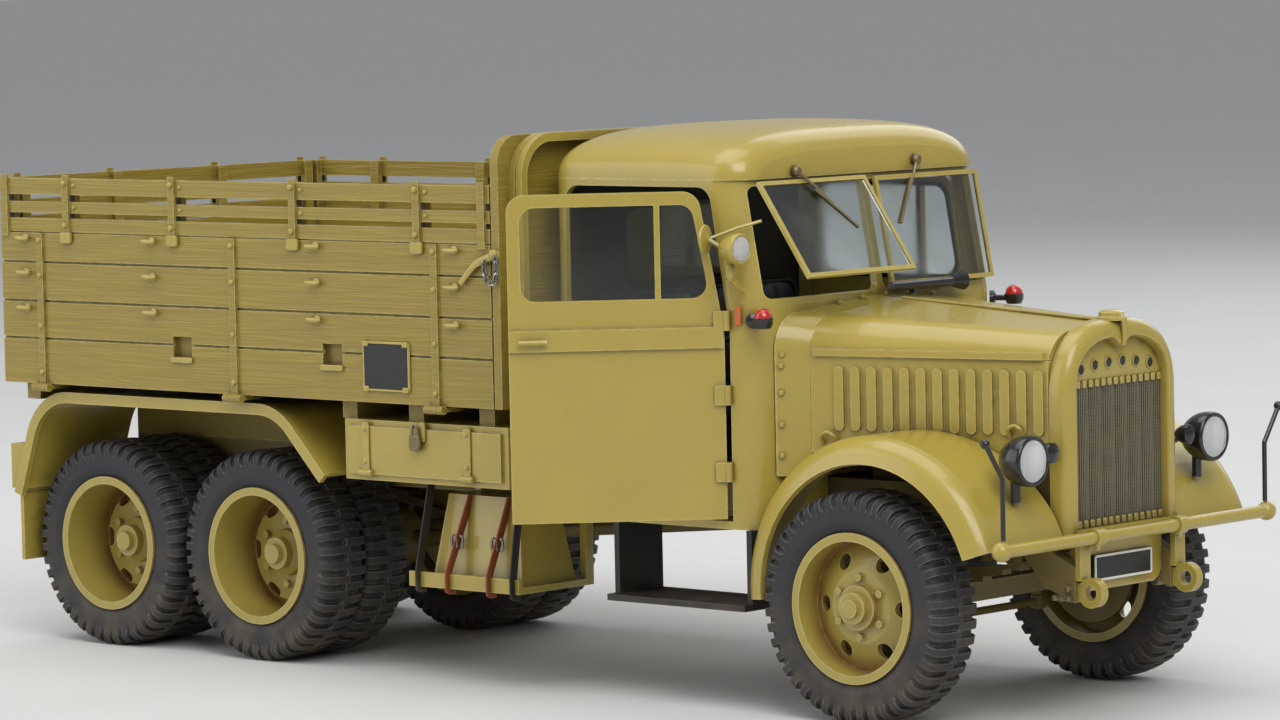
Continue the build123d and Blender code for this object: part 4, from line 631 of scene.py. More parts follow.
OLIVE = linear(172, 152, 66)
OLIVE_PALE = linear(222, 208, 140)
OLIVE_WASH_AND_SHADE = linear(84, 70, 28)
RUST = linear(120, 66, 30)
# the third colour of each finish is its wash and painted shade for recesses; on the wheels it is rust
FINISHES = {
    "paint": Paint("olive_paint", OLIVE, OLIVE_PALE, OLIVE_WASH_AND_SHADE, roughness=0.3, wear=0.6, coat=0.35,
                   shade_wash_strength=0.9),
    "wheel_paint": Paint("wheel_paint", linear(166, 149, 70), OLIVE_PALE, RUST, roughness=0.32, shade_wash_strength=0.85,
                         wear=0.6, coat=0.25),
    "wood": Wood("board_paint", linear(157, 137, 52), OLIVE_PALE, OLIVE_WASH_AND_SHADE, roughness=0.42, wear=0.5, bump=0.3,
                 streak=linear(140, 120, 48), shade_wash_strength=1.0),
    "cross_wood": Wood("cross_board_paint", linear(157, 137, 52), OLIVE_PALE, OLIVE_WASH_AND_SHADE, roughness=0.42, wear=0.5,
                       bump=0.3, streak=linear(140, 120, 48), shade_wash_strength=1.0, way=GrainWay.CROSSWISE),
    "chassis": Paint("chassis_paint", linear(120, 104, 56), linear(160, 145, 92), linear(50, 38, 18),
                     roughness=0.55, dusty=0.6),
    "black": Paint("gloss_black", linear(22, 22, 24), linear(84, 84, 86), linear(10, 10, 10), roughness=0.22,
                   wear=0.25, shade_wash_strength=0.3, dusty=0.2, coat=0.3),
    "matt_black": Paint("matt_black", linear(30, 29, 28), linear(92, 90, 86), linear(14, 13, 12), roughness=0.55,
                        wear=0.35, dusty=0.5),
    "tyre": Paint("tyre_rubber", linear(40, 40, 44), linear(132, 130, 128), linear(20, 20, 22), roughness=0.62,
                  wear=0.75, edge_mm=0.3, shade_wash_strength=0.5, dusty=0.35, bump=0.2),
    "steel": Paint("bare_steel", linear(150, 148, 140), linear(210, 208, 200), linear(60, 48, 34), roughness=0.3,
                   metallic=0.9, wear=0.3),
    "worn_iron": Paint("worn_iron", linear(120, 106, 70), linear(196, 184, 150), linear(54, 40, 22),
                       roughness=0.42, metallic=0.5, wear=0.8, shade_wash_strength=0.8),
    # painted shade: a dark colour for the sheets inside the cab, standing in for its shade
    "cab_shade": Paint("cab_painted_shade", linear(44, 38, 24), linear(72, 62, 38), linear(20, 18, 10), roughness=0.7,
                      dusty=0.2, wear=0.3),
    "mesh_wire": Paint("mesh_wire", linear(110, 102, 80), linear(160, 150, 118), linear(40, 34, 22), roughness=0.5,
                       wear=0.5, edge_mm=0.08, shade_wash_strength=0.8),
    "strap": Paint("strap_leather", linear(136, 66, 34), linear(176, 106, 62), linear(60, 28, 14), roughness=0.5),
    "plate": Paint("plate_black", linear(20, 20, 21), linear(60, 60, 60), linear(8, 8, 8), roughness=0.35,
                   wear=0.1, shade_wash_strength=0.1, dusty=0.1),
    "white": Paint("plate_rim", linear(222, 220, 212), linear(240, 238, 230), linear(120, 112, 96), roughness=0.4,
                   dusty=0.1),
    "red": Paint("red_dome", linear(190, 26, 20), linear(226, 90, 70), linear(80, 8, 8), roughness=0.12, wear=0.1,
                 shade_wash_strength=0.2, dusty=0.0, coat=0.8, bump=0.0),
    "orange": Paint("reflector", linear(196, 96, 34), linear(220, 140, 80), linear(96, 40, 12), roughness=0.25),
    "grille": Paint("grille_mesh", linear(148, 130, 74), linear(206, 192, 140), linear(34, 28, 16), roughness=0.45,
                    shade_wash_strength=1.0, wear=0.7, edge_mm=0.12),
    "leather": Leather("bench_leather", linear(34, 36, 46), linear(110, 110, 118), linear(12, 12, 16),
                       roughness=0.42, bump=0.25, dusty=0.0),
    "mirror": Paint("lamp_mirror", linear(232, 234, 236), linear(240, 240, 240), linear(120, 120, 120),
                    roughness=0.1, metallic=1.0, wear=0.0, shade_wash_strength=0.1, dusty=0.0, uneven=0.0, bump=0.0),
    "glass": Glass("window_glass", linear(240, 246, 246)),
    # painted reflection: the lens lets 0.6 through and shows the rest as diffuse white, standing in for the lamps
    # reflected in it
    "lens": Glass("lamp_lens_painted_reflection", linear(252, 252, 252), roughness=0.02, clear=0.6, ribs=0.08),
}
MATERIALS = {key: finish.material() for key, finish in FINISHES.items()}
NODE_FINISH = {
    "wood": ("side_left", "side_right"),
    "cross_wood": ("tailgate", "headboard", "bed_floor"),
    "chassis": ("chassis_frame", "engine_gearbox", "exhaust", "front_axle", "knuckle_left", "knuckle_right",
                "leaf_springs", "rear_axles", "track_rod"),
    "black": ("headlamps", "horn", "width_rods", "steering_wheel"),
    # cab_inside in matt black is painted shade inside the cab; the steps are black
    "matt_black": ("steps", "cab_inside"),
    "glass": ("door_glass_left", "door_glass_right", "window_glass"),
    "lens": ("lamp_lenses",),
    "plate": ("number_plate",),
    "red": ("indicators",),
    "grille": ("grille",),
    "leather": ("seat",),
}


def dress_nodes() -> None:
    """Gives each CAD node its finish: the table's, or wheel paint on rims, rubber on tyres, olive on the rest."""
    chosen = {node: key for key, nodes in NODE_FINISH.items() for node in nodes}
    for name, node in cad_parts.items():
        usual = "wheel_paint" if name.startswith("rim_") else "tyre" if name.startswith("tyre") else "paint"
        node.data.materials.clear()
        node.data.materials.append(MATERIALS[chosen.get(name, usual)])


def lamp_face(origin: tuple, axis: tuple, radius: float) -> tuple[Surface, Surface, Surface]:
    """A lamp's front: a rolled bezel, a dished reflector r^2 deep in the middle, and a domed lens.

    Args:
        origin: middle of the lamp's rim, in mm.
        axis: the way it shines.
        radius: rim radius in mm.

    Returns:
        Bezel, reflector and lens.
    """
    turn = np.linspace(0, np.pi, 9)
    roll = [(radius * (0.91 + 0.11 * math.cos(a)), radius * (0.05 + 0.14 * math.sin(a))) for a in turn]
    bezel = lathe([(radius * 1.02, -radius * 0.12)] + roll + [(radius * 0.8, -0.02)], origin, axis, 40)
    share = np.linspace(1, 0.02, 9)
    dish = lathe(np.stack([0.82 * radius * share, radius * (0.02 + 0.12 * share ** 2)], -1), origin, axis, 40)
    lens = lathe(np.stack([0.84 * radius * share, radius * (0.12 + 0.2 * (1 - share ** 2))], -1), origin, axis, 40)
    return bezel, dish, lens


@dataclass
class Studio:
    """Camera at the photograph's angle, pale floor, soft lamps and a pale surround."""

    eye: tuple = (454.2, -496.7, 90.4)
    yaw: float = 132.116
    pitch: float = 4.3207
    roll: float = -1.1765
    lens: float = 145.31
    floor: float = 40.0

    def camera(self) -> None:
        """Places the camera: forward from yaw and pitch, then turned by the roll."""
        yaw, pitch, roll = (math.radians(angle) for angle in (self.yaw, self.pitch, self.roll))
        ahead = np.array([math.cos(yaw) * math.cos(pitch), math.sin(yaw) * math.cos(pitch), -math.sin(pitch)])
        flat = np.array([math.sin(yaw), -math.cos(yaw), 0])
        rise = np.cross(flat, ahead)
        right = math.cos(roll) * flat + math.sin(roll) * rise
        up = -math.sin(roll) * flat + math.cos(roll) * rise
        data = bpy.data.cameras.new("photo_camera")
        data.lens, data.sensor_width, data.sensor_fit, data.clip_start = self.lens, 36.0, "HORIZONTAL", 0.01
        rig = bpy.data.objects.new("photo_camera", data)
        matrix = Matrix.Identity(4)
        for column, vector in enumerate((right, up, -ahead, np.array(self.eye) * MM)):
            for row in range(3):
                matrix[row][column] = vector[row]
        rig.matrix_world = matrix
        bpy.context.scene.collection.objects.link(rig)
        bpy.context.scene.camera = rig

    def ground(self) -> None:
        """A wide flat floor in a pale matt finish."""
        half = self.floor / 2
        mesh = bpy.data.meshes.new("floor")
        corners = [(-half, -half, 0), (half, -half, 0), (half, half, 0), (-half, half, 0)]
        mesh.from_pydata(corners, [], [(0, 1, 2, 3)])
        made = bpy.data.materials.new("floor_card")
        made.use_nodes = True
        web = Web(made.node_tree)
        tone = web.mix(web.noise(40.0, 4.0), linear(214, 214, 212), linear(206, 206, 205))
        shader = web.add("ShaderNodeBsdfPrincipled", {"Base Color": tone, "Roughness": 0.8})
        web.add("ShaderNodeOutputMaterial", {"Surface": shader.outputs[0]})
        mesh.materials.append(made)
        floor = bpy.data.objects.new("floor", mesh)
        bpy.context.scene.collection.objects.link(floor)

    def lamp(self, name: str, place: tuple, aim: tuple, size: float, watts: float) -> None:
        """A square soft lamp, in metres, turned towards a point."""
        data = bpy.data.lights.new(name, "AREA")
        data.shape, data.size, data.energy = "SQUARE", size, watts
        lamp = bpy.data.objects.new(name, data)
        ahead = np.array(aim) - np.array(place)
        ahead = ahead / np.linalg.norm(ahead)
        side, up = basis(ahead)
        matrix = Matrix.Identity(4)
        for column, vector in enumerate((side, up, -ahead, np.array(place))):
            for row in range(3):
                matrix[row][column] = vector[row]
        lamp.matrix_world = matrix
        bpy.context.scene.collection.objects.link(lamp)

    def light(self) -> None:
        """Soft key from the front right, a broad top lamp, a weak fill and an even surround."""
        self.lamp("key", (0.55, -0.35, 0.62), (0.02, 0, 0.03), 0.55, 4.2)
        self.lamp("top", (-0.1, -0.1, 0.8), (0, 0, 0.03), 0.7, 3.0)
        self.lamp("fill", (-0.5, -0.55, 0.3), (-0.03, 0, 0.03), 0.6, 1.6)
        self.lamp("far_side", (-0.1, 0.7, 0.5), (0, 0, 0.03), 0.6, 1.6)
        world = bpy.data.worlds.new("surround")
        world.use_nodes = True
        web = Web(world.node_tree)
        path = web.add("ShaderNodeLightPath").outputs["Is Camera Ray"]
        sky = web.add("ShaderNodeBackground", {"Color": (0.9, 0.92, 0.95, 1), "Strength": 0.42})
        back = web.add("ShaderNodeBackground", {"Color": (0.72, 0.72, 0.72, 1), "Strength": 1.0})
        both = web.add("ShaderNodeMixShader", {0: path, 1: sky.outputs[0], 2: back.outputs[0]})
        web.add("ShaderNodeOutputWorld", {"Surface": both.outputs[0]})
        bpy.context.scene.world = world
        bpy.context.scene.view_settings.view_transform = "Standard"

    def build(self) -> None:
        """Sets up the camera, floor and lamps."""
        self.camera()
        self.ground()
        self.light()


@dataclass
class Tyres:
    """Ten bar-lug tyres: a front pair and twin rears."""

    radius: float = 14.0
    lug: float = 0.55
    lugs: int = 44
    front: tuple = ("front", 62.5, (23.4,))
    rears: tuple = (("mid", -40.3, (15.0, 22.75)), ("rear", -69.5, (15.0, 22.75)))

    def one(self, x: float, y: float) -> Surface:
        """One tyre on an axle at x, its middle at y.

        A closed section (distance across a, radius r) goes round the axle. Where a bar stands, the
        section's points move out along their own slant by the bar's height. Bars of the two sides
        alternate by half a pitch and meet past the middle.

        Args:
            x, y: the middle of the tyre in mm.

        Returns:
            The closed tyre.
        """
        half = np.array([[2.75, 8.55, 0], [3.3, 9.1, 0], [3.6, 9.9, 0], [3.66, 10.1, 0], [3.74, 10.25, 0],
                         [3.72, 10.6, 0], [3.75, 11.2, 0], [3.68, 12.0, 0], [3.58, 12.3, 0.9], [3.4, 12.85, 1],
                         [2.95, 13.3, 1], [2.1, 13.43, 1], [1.1, 13.45, 1], [0.5, 13.45, 1], [0.25, 13.45, 1]])
        section = np.vstack([half * [1, 1, 1], half[::-1] * [-1, 1, 1]])
        across, reach, share = section.T
        lean = np.sign(across) * np.clip((np.abs(across) - 2.2) / 1.6, 0, 0.8)
        slant = np.stack([lean, np.ones(len(across))], -1)
        slant /= np.linalg.norm(slant, axis=1, keepdims=True)
        stops = np.array([0, 0.06, 0.12, 0.31, 0.5, 0.56, 0.62, 0.81])
        turn = (np.arange(self.lugs)[:, None] + stops).ravel()
        marks, rise = [0, 0.06, 0.56, 0.62, 1.0], [0, 1, 1, 0, 0]
        first = np.interp(turn % 1, marks, rise)[:, None] * (across < 0.4)
        second = np.interp((turn + 0.5) % 1, marks, rise)[:, None] * (across > -0.4)
        bar = np.maximum(first, second) * share * self.lug
        angle = turn * 2 * np.pi / self.lugs
        out = np.minimum(reach + bar * slant[:, 1], self.radius)
        points = np.stack([x + out * np.sin(angle)[:, None], y + across + bar * slant[:, 0],
                           self.radius + out * np.cos(angle)[:, None]], -1)
        return grid(points, close_u=True, close_v=True)

    def build(self) -> None:
        """Puts a tyre piece on each wheel in place of its plain solid."""
        for axle, x, middles in (self.front, *self.rears):
            node = "tyre" if len(middles) == 1 else "tyres"
            for side, name in SIDES.items():
                tyres = joined([self.one(x, side * y) for y in middles])
                put(f"lugged_tyre_{axle}_{name}", tyres, "tyre", f"wheel_{axle}_{name}",
                    replaces=(f"{node}_{axle}_{name}",))


@dataclass
class CargoSides:
    """Fittings of the two side walls: strap bolts, rope cleats, hand-hole sills, a slate and corner latches."""

    board_y: float = 30.3
    strap_t: float = 0.35
    straps_x: tuple = (-76.9, -39.1, -2.1)
    bolts_z: tuple = (55.4, 50.6, 43.7, 37.4)
    cleats_x: tuple = (-80.0, -54.7, -23.6, 1.3)
    cleats_z: tuple = (55.6, 50.9, 46.1)
    posts_x: tuple = (-71.4, -50.4, -27.5, -5.0)
    post_foot_z: float = 55.8
    sunk: float = 0.02
    slat_bolts_z: tuple = (57.5, 63.2)
    pegs_z: tuple = (59.9, 62.9)
    holes_x: tuple = (-49.2, -20.9)
    hole_foot_z: float = 40.0
    slate_x: tuple = (-14.9, -7.1)
    slate_z: tuple = (37.6, 43.4)
    lever: tuple = ((2.9, 51.5), (4.4, 53.0), (6.0, 54.2), (9.3, 55.3))
    chain: tuple = ((7.4, 54.2), (7.7, 52.4), (8.5, 51.5), (9.3, 52.2), (9.5, 53.6), (9.4, 54.8))
    pivot: tuple = (8.6, 55.2)
    link_mm: float = 0.72

    def cleat(self) -> Surface:
        """A rope cleat at the origin: a round foot and a bar whose two horns taper and bend outwards."""
        share = np.linspace(-1, 1, 11)
        path = np.stack([1.25 * share, -0.55 - 0.22 * share ** 2, 0.1 * share ** 2], -1)
        bar = sweep(circle(0.34, 8), path, size=1 - 0.55 * np.abs(share) ** 3)
        return lathe([(0.62, 0.0), (0.55, 0.18), (0.36, 0.3), (0.34, 0.6)], ORIGIN, OUT_RIGHT, 12) + bar

    def irons(self) -> Surface:
        """Bolts on the straps and posts, the posts' feet and the pegs beside them."""
        face = -self.board_y
        bolts = [(x, face - self.strap_t, z) for x in self.straps_x for z in self.bolts_z]
        bolts += [(x, face - 0.5, z) for x in self.posts_x for z in self.slat_bolts_z]
        pegs = [(x + 1.5, face, z) for x in self.posts_x for z in self.pegs_z]
        feet = [wall_plate(2.1, 1.5, 0.3, (x, face - self.sunk, self.post_foot_z), 0.55, 0.12)
                for x in self.posts_x]
        sills = [wall_plate(4.1, 0.75, 0.2, (x, face - self.sunk, self.hole_foot_z), 0.4, 0.1)
                 for x in self.holes_x]
        return (heads(bolts, OUT_RIGHT, 0.42, 0.34, 10) + heads(pegs, OUT_RIGHT, 0.3, 0.4, 8)
                + joined(feet) + joined(sills))

    def latch(self) -> Surface:
        """The corner lever, a flat bar bent along a smooth line, with its pivot and catch."""
        line = smooth_path([(x, -self.board_y - 0.55, z) for x, z in self.lever])
        bar = sweep(rounded(0.95, 0.4, 0.15), line, up=OUT_RIGHT, size=np.linspace(0.75, 1.1, len(line)))
        pivot = lathe([(0.7, 0.0), (0.7, 0.65), (0.5, 0.85), (0.2, 0.95)],
                      (self.pivot[0], -self.board_y, self.pivot[1]), OUT_RIGHT, 16)
        return bar + pivot

    def links(self) -> Surface:
        """A short chain: oval links along the hanging line, each turned a quarter from the last."""
        line = smooth_path([(x, -self.board_y - 0.95, z) for x, z in self.chain], 4)
        walked = np.concatenate([[0], np.cumsum(np.linalg.norm(np.diff(line, axis=0), axis=1))])
        stops = np.arange(0.2, walked[-1], self.link_mm)
        places = np.stack([np.interp(stops, walked, line[:, k]) for k in range(3)], -1)
        ahead = np.gradient(places, axis=0)
        ahead /= np.linalg.norm(ahead, axis=1, keepdims=True)
        side, up = basis(ahead, OUT_RIGHT)
        ring = circle(1.0, 12)
        rings = []
        for index, (place, way) in enumerate(zip(places, ahead)):
            wide = side[index] if index % 2 else up[index]
            rings.append(wire(place + 0.52 * ring[:, :1] * way + 0.33 * ring[:, 1:] * wide, 0.13, 6, closed=True))
        return joined(rings)

    def slate(self) -> tuple[Surface, Surface]:
        """A plain dark slate in a thin frame held by four corner clips.

        Returns:
            The slate, and its frame with the clips.
        """
        middle = ((self.slate_x[0] + self.slate_x[1]) / 2, -self.board_y, (self.slate_z[0] + self.slate_z[1]) / 2)
        width, height = self.slate_x[1] - self.slate_x[0], self.slate_z[1] - self.slate_z[0]
        panel = wall_plate(width, height, 0.25, middle, 0.3, 0.1)
        edge = rounded(width + 0.25, height + 0.25, 0.3)
        loop = np.stack([middle[0] + edge[:, 0], np.full(len(edge), middle[1] - 0.12), middle[2] + edge[:, 1]], -1)
        frame_bar = sweep(circle(0.2, 6), loop, up=OUT_RIGHT, closed=True)
        corners = [(middle[0] + a * (width / 2 - 0.35), middle[1], middle[2] + b * height / 2)
                   for a in (-1, 1) for b in (-1, 1)]
        clips = [wall_plate(1.0, 0.7, 0.15, place, 0.5, 0.1) for place in corners]
        return panel, frame_bar + joined(clips)

    def build(self) -> None:
        """Puts the fittings on both walls, and the slate on the right one."""
        places = np.array([(x, -self.board_y, z) for x in self.cleats_x for z in self.cleats_z])
        cleats = scattered(self.cleat(), places)
        for side, word in SIDES.items():
            body = f"side_{word}"
            put(f"wall_irons_{word}", self.irons().on(side), "paint", body)
            put(f"wall_cleats_{word}", cleats.on(side), "paint", body)
            put(f"corner_latch_{word}", self.latch().on(side), "paint", body)
            put(f"latch_chain_{word}", self.links().on(side), "steel", body)
        panel, rim = self.slate()
        put("wall_slate", panel, "plate", "side_right")
        put("wall_slate_frame", rim, "paint", "side_right")


@dataclass
class Stowage:
    """Straps, hinges and padlocks of the two lockers, and the straps round the chest on its tray."""

    lid_y: float = 29.4
    straps_x: tuple = (-16.0, 2.1)
    strap_z: tuple = (26.7, 33.1)
    lock_x: float = -6.6
    hasp_z: float = 32.3
    lock_z: float = 30.9
    tray_y: float = 28.0
    tray_z: float = 12.2
    chest_top: tuple = (-24.75, 24.05)
    chest_straps_x: tuple = ((-3.1, -1.9), (4.1, 4.9))
    strap_w: float = 1.15
    buckle_y: float = -26.75
    buckle_z: float = 18.2
    hanger_straps_x: tuple = ((-8.3, -7.2), (8.3, 8.5))
    hanger_top: tuple = (-26.6, 25.5)
    hanger_w: float = 1.3

    def lid_irons(self) -> Surface:
        """Lid straps with a bolt near each end, and the hinge barrels below them."""
        middle = sum(self.strap_z) / 2
        length = self.strap_z[1] - self.strap_z[0]
        straps = [wall_plate(1.25, length, 0.3, (x, -self.lid_y, middle), 0.3, 0.1)
                  for x in self.straps_x]
        bolts = heads([(x, -self.lid_y - 0.3, z) for x in self.straps_x
                       for z in (self.strap_z[0] + 1.4, self.strap_z[1] - 0.8)], OUT_RIGHT, 0.42, 0.32, 10)
        barrels = [wire([(x - 1.1, -self.lid_y - 0.25, self.strap_z[0] - 0.1),
                         (x + 1.1, -self.lid_y - 0.25, self.strap_z[0] - 0.1)], 0.5, 12) for x in self.straps_x]
        hasp = wall_plate(1.0, 2.6, 0.3, (self.lock_x + 0.9, -self.lid_y, self.hasp_z), 0.35, 0.1)
        return joined(straps + barrels) + bolts + hasp

    def padlock(self) -> Surface:
        """A padlock: a rounded case below a shackle, which is a wire bent in a half circle."""
        case = wall_plate(1.9, 2.1, 0.5, (self.lock_x, -self.lid_y - 0.25, self.lock_z), 0.75, 0.2)
        angle = np.linspace(0, np.pi, 9)
        arc = [(self.lock_x + 0.55 * math.cos(a), -self.lid_y - 0.65, 32.2 + 0.85 * math.sin(a)) for a in angle]
        path = [(arc[0][0], arc[0][1], 31.6)] + arc + [(arc[-1][0], arc[-1][1], 31.6)]
        return case + wire(path, 0.2, 8)

    def band(self, foot_x: float, head_x: float, head: tuple[float, float], width: float) -> Surface:
        """A flat strap from under the tray's lip, straight up to a head point.

        Args:
            foot_x, head_x: where it starts and ends along the truck.
            head: y and z of its upper end.
            width: strap width in mm.

        Returns:
            The strap, 0.3 mm thick.
        """
        lip = -self.tray_y - 0.16
        path = [(foot_x, lip + 1.2, self.tray_z - 0.16), (foot_x, lip, self.tray_z - 0.16),
                (foot_x, lip, self.tray_z + 2.0), (head_x, *head)]
        path = np.vstack([np.linspace(a, b, 5)[:-1] for a, b in zip(path, path[1:])] + [path[-1:]])
        return sweep(rounded(width, 0.26, 0.1), path, up=(0, -1, 0.12))

    def buckle(self, x: float, y: float, z: float) -> Surface:
        """A square wire buckle with its tongue, lying on a strap."""
        loop = np.array([(x + a, y - 0.12, z + b) for a, b in rounded(1.9, 1.5, 0.3)])
        return wire(loop, 0.2, 8, closed=True) + wire([(x, y - 0.2, z - 0.8), (x, y - 0.32, z + 0.6)], 0.14, 6)

    def build(self) -> None:
        """Puts the straps, locks and buckles on the truck."""
        for side, word in SIDES.items():
            put(f"locker_irons_{word}", self.lid_irons().on(side), "paint")
            put(f"locker_padlock_{word}", self.padlock().on(side), "worn_iron")
        straps = [self.band(a, b, self.chest_top, self.strap_w) for a, b in self.chest_straps_x]
        put("chest_straps", joined(straps), "strap")
        buckles = [self.buckle(a + 0.45 * (b - a), self.buckle_y, self.buckle_z) for a, b in self.chest_straps_x]
        put("chest_buckles", joined(buckles), "steel")
        hangers = [self.band(a, b, self.hanger_top, self.hanger_w) for a, b in self.hanger_straps_x]
        put("tray_hangers", joined(hangers), "matt_black")


@dataclass
class CabRoof:
    """The pressed roof, a dome over the cab in one skin with its sides, and the two wipers on its brow."""

    rear_x: float = 12.3
    brow_x: float = 43.5
    half_w: float = 24.0
    eaves_z: float = 64.6
    rise: float = 6.5
    rear_r: float = 2.5
    front_r: float = 4.5
    shoulder: float = 0.62
    light: tuple = (22.0, 9.0, 55.5)
    shade_pillow_x: tuple = (27.7, 13.6)
    shade_pillow_half: float = 22.2
    wall_h: float = 36.4
    wall_z: float = 45.8
    line: tuple = ((0.0, 0.76), (0.04, 0.86), (0.13, 0.94), (0.4, 1.0), (0.7, 0.99), (0.86, 0.94), (0.94, 0.84),
                   (0.98, 0.68), (1.0, 0.5))
    wipers: tuple = (((44.1, -13.65, 65.4), (48.3, -6.9, 58.5)), ((44.1, 9.7, 65.9), (45.6, 4.6, 57.9)))

    def corner(self, run: np.ndarray, radius: float) -> np.ndarray:
        """How far a rounded plan corner draws the side in: r - sqrt(r^2 - (r - run)^2) within r of the end."""
        short = np.clip(radius - run, 0, radius)
        return radius - np.sqrt(radius ** 2 - short ** 2)

    def dome(self) -> Surface:
        """The roof: at each x an arch y = half cos a^0.62, z = height sin a^0.8, its foot closed flat.

        Returns:
            The closed roof.
        """
        share = 0.5 - 0.5 * np.cos(np.linspace(0, np.pi, 65))
        x = self.rear_x + share * (self.brow_x - self.rear_x)
        table = smooth_path([(a, b, 0) for a, b in self.line], 8)
        height = self.rise * np.interp(share, table[:, 0], table[:, 1])
        half = self.half_w - self.corner(x - self.rear_x, self.rear_r) - self.corner(self.brow_x - x, self.front_r)
        turn = np.linspace(0, np.pi, 57)
        across = signed_power(np.cos(turn), self.shoulder)
        lift = np.sin(turn).clip(0) ** 0.8
        points = np.stack([np.broadcast_to(x[:, None], (len(x), len(turn))), half[:, None] * across,
                           self.eaves_z + height[:, None] * lift], -1)
        return grid(points, close_v=True, capped=True)

    def roof_shade_pillow(self) -> Surface:
        """A dark sheet just below the roof, painted shade inside the cab: a shallow pillow z = -0.5 (1 - u^4)(1 -
        v^4).
        """
        u, v = np.meshgrid(np.linspace(-1, 1, 17), np.linspace(-1, 1, 17), indexing="ij")
        sag = 0.5 * (1 - u ** 4) * (1 - v ** 4)
        x, y = self.shade_pillow_x[0] + self.shade_pillow_x[1] * u, self.shade_pillow_half * v
        low = np.stack([x, y, self.eaves_z - 0.12 - sag], -1)
        top = np.stack([x, y, np.full_like(u, self.eaves_z - 0.05)], -1)
        return grid(low) + grid(top)

    def rear_wall_shade_card(self) -> Surface:
        """A dark card on the cab's rear wall, painted shade: a flat ring from the wall's outline to the rear
        window's.

        Returns:
            The open sheet.
        """
        wall = rounded(2 * self.half_w - 3.6, self.wall_h, 1.4, 4) + np.array([0, self.wall_z])
        light = rounded(self.light[0] + 1.2, self.light[1] + 1.2, 1.4, 4) + np.array([0, self.light[2]])
        rings = [np.column_stack([np.full(len(wall), self.rear_x + 1.35 - 0.1 * share),
                                  wall + share * (light - wall)])
                 for share in np.linspace(0, 1, 5)]
        return grid(np.stack(rings), close_v=True)

    def wiper(self, pivot: tuple, tip: tuple) -> Surface:
        """A wiper: a round pivot, a thin arm, and a flat blade beside the arm's lower end."""
        start, end = np.array(pivot), np.array(tip)
        way = (end - start) / np.linalg.norm(end - start)
        side = np.cross(way, (1.0, 0, 0))
        side = 0.45 * side / np.linalg.norm(side)
        arm = wire([start, start + 0.3 * (end - start), start + 0.62 * (end - start) + 0.5 * side], 0.2, 8)
        blade = sweep(rounded(0.3, 0.75, 0.1), np.linspace(start + 0.3 * (end - start), end, 5) + side, up=X_WAY)
        return lathe([(0.7, -0.8), (0.7, 0.1), (0.45, 0.4)], pivot, (1, 0, 0.1), 14) + arm + blade

    def build(self) -> None:
        """Puts the roof in place of the CAD roof, with dark sheets of painted shade inside the cab, and wipers."""
        put("roof_shell", self.dome(), "paint", replaces=("cab_roof",))
        put("roof_shade_sheet", self.roof_shade_pillow(), "cab_shade", recalc=False)
        put("rear_wall_shade_card", self.rear_wall_shade_card(), "cab_shade", recalc=False)
        put("wipers", joined([self.wiper(*ends) for ends in self.wipers]), "worn_iron")


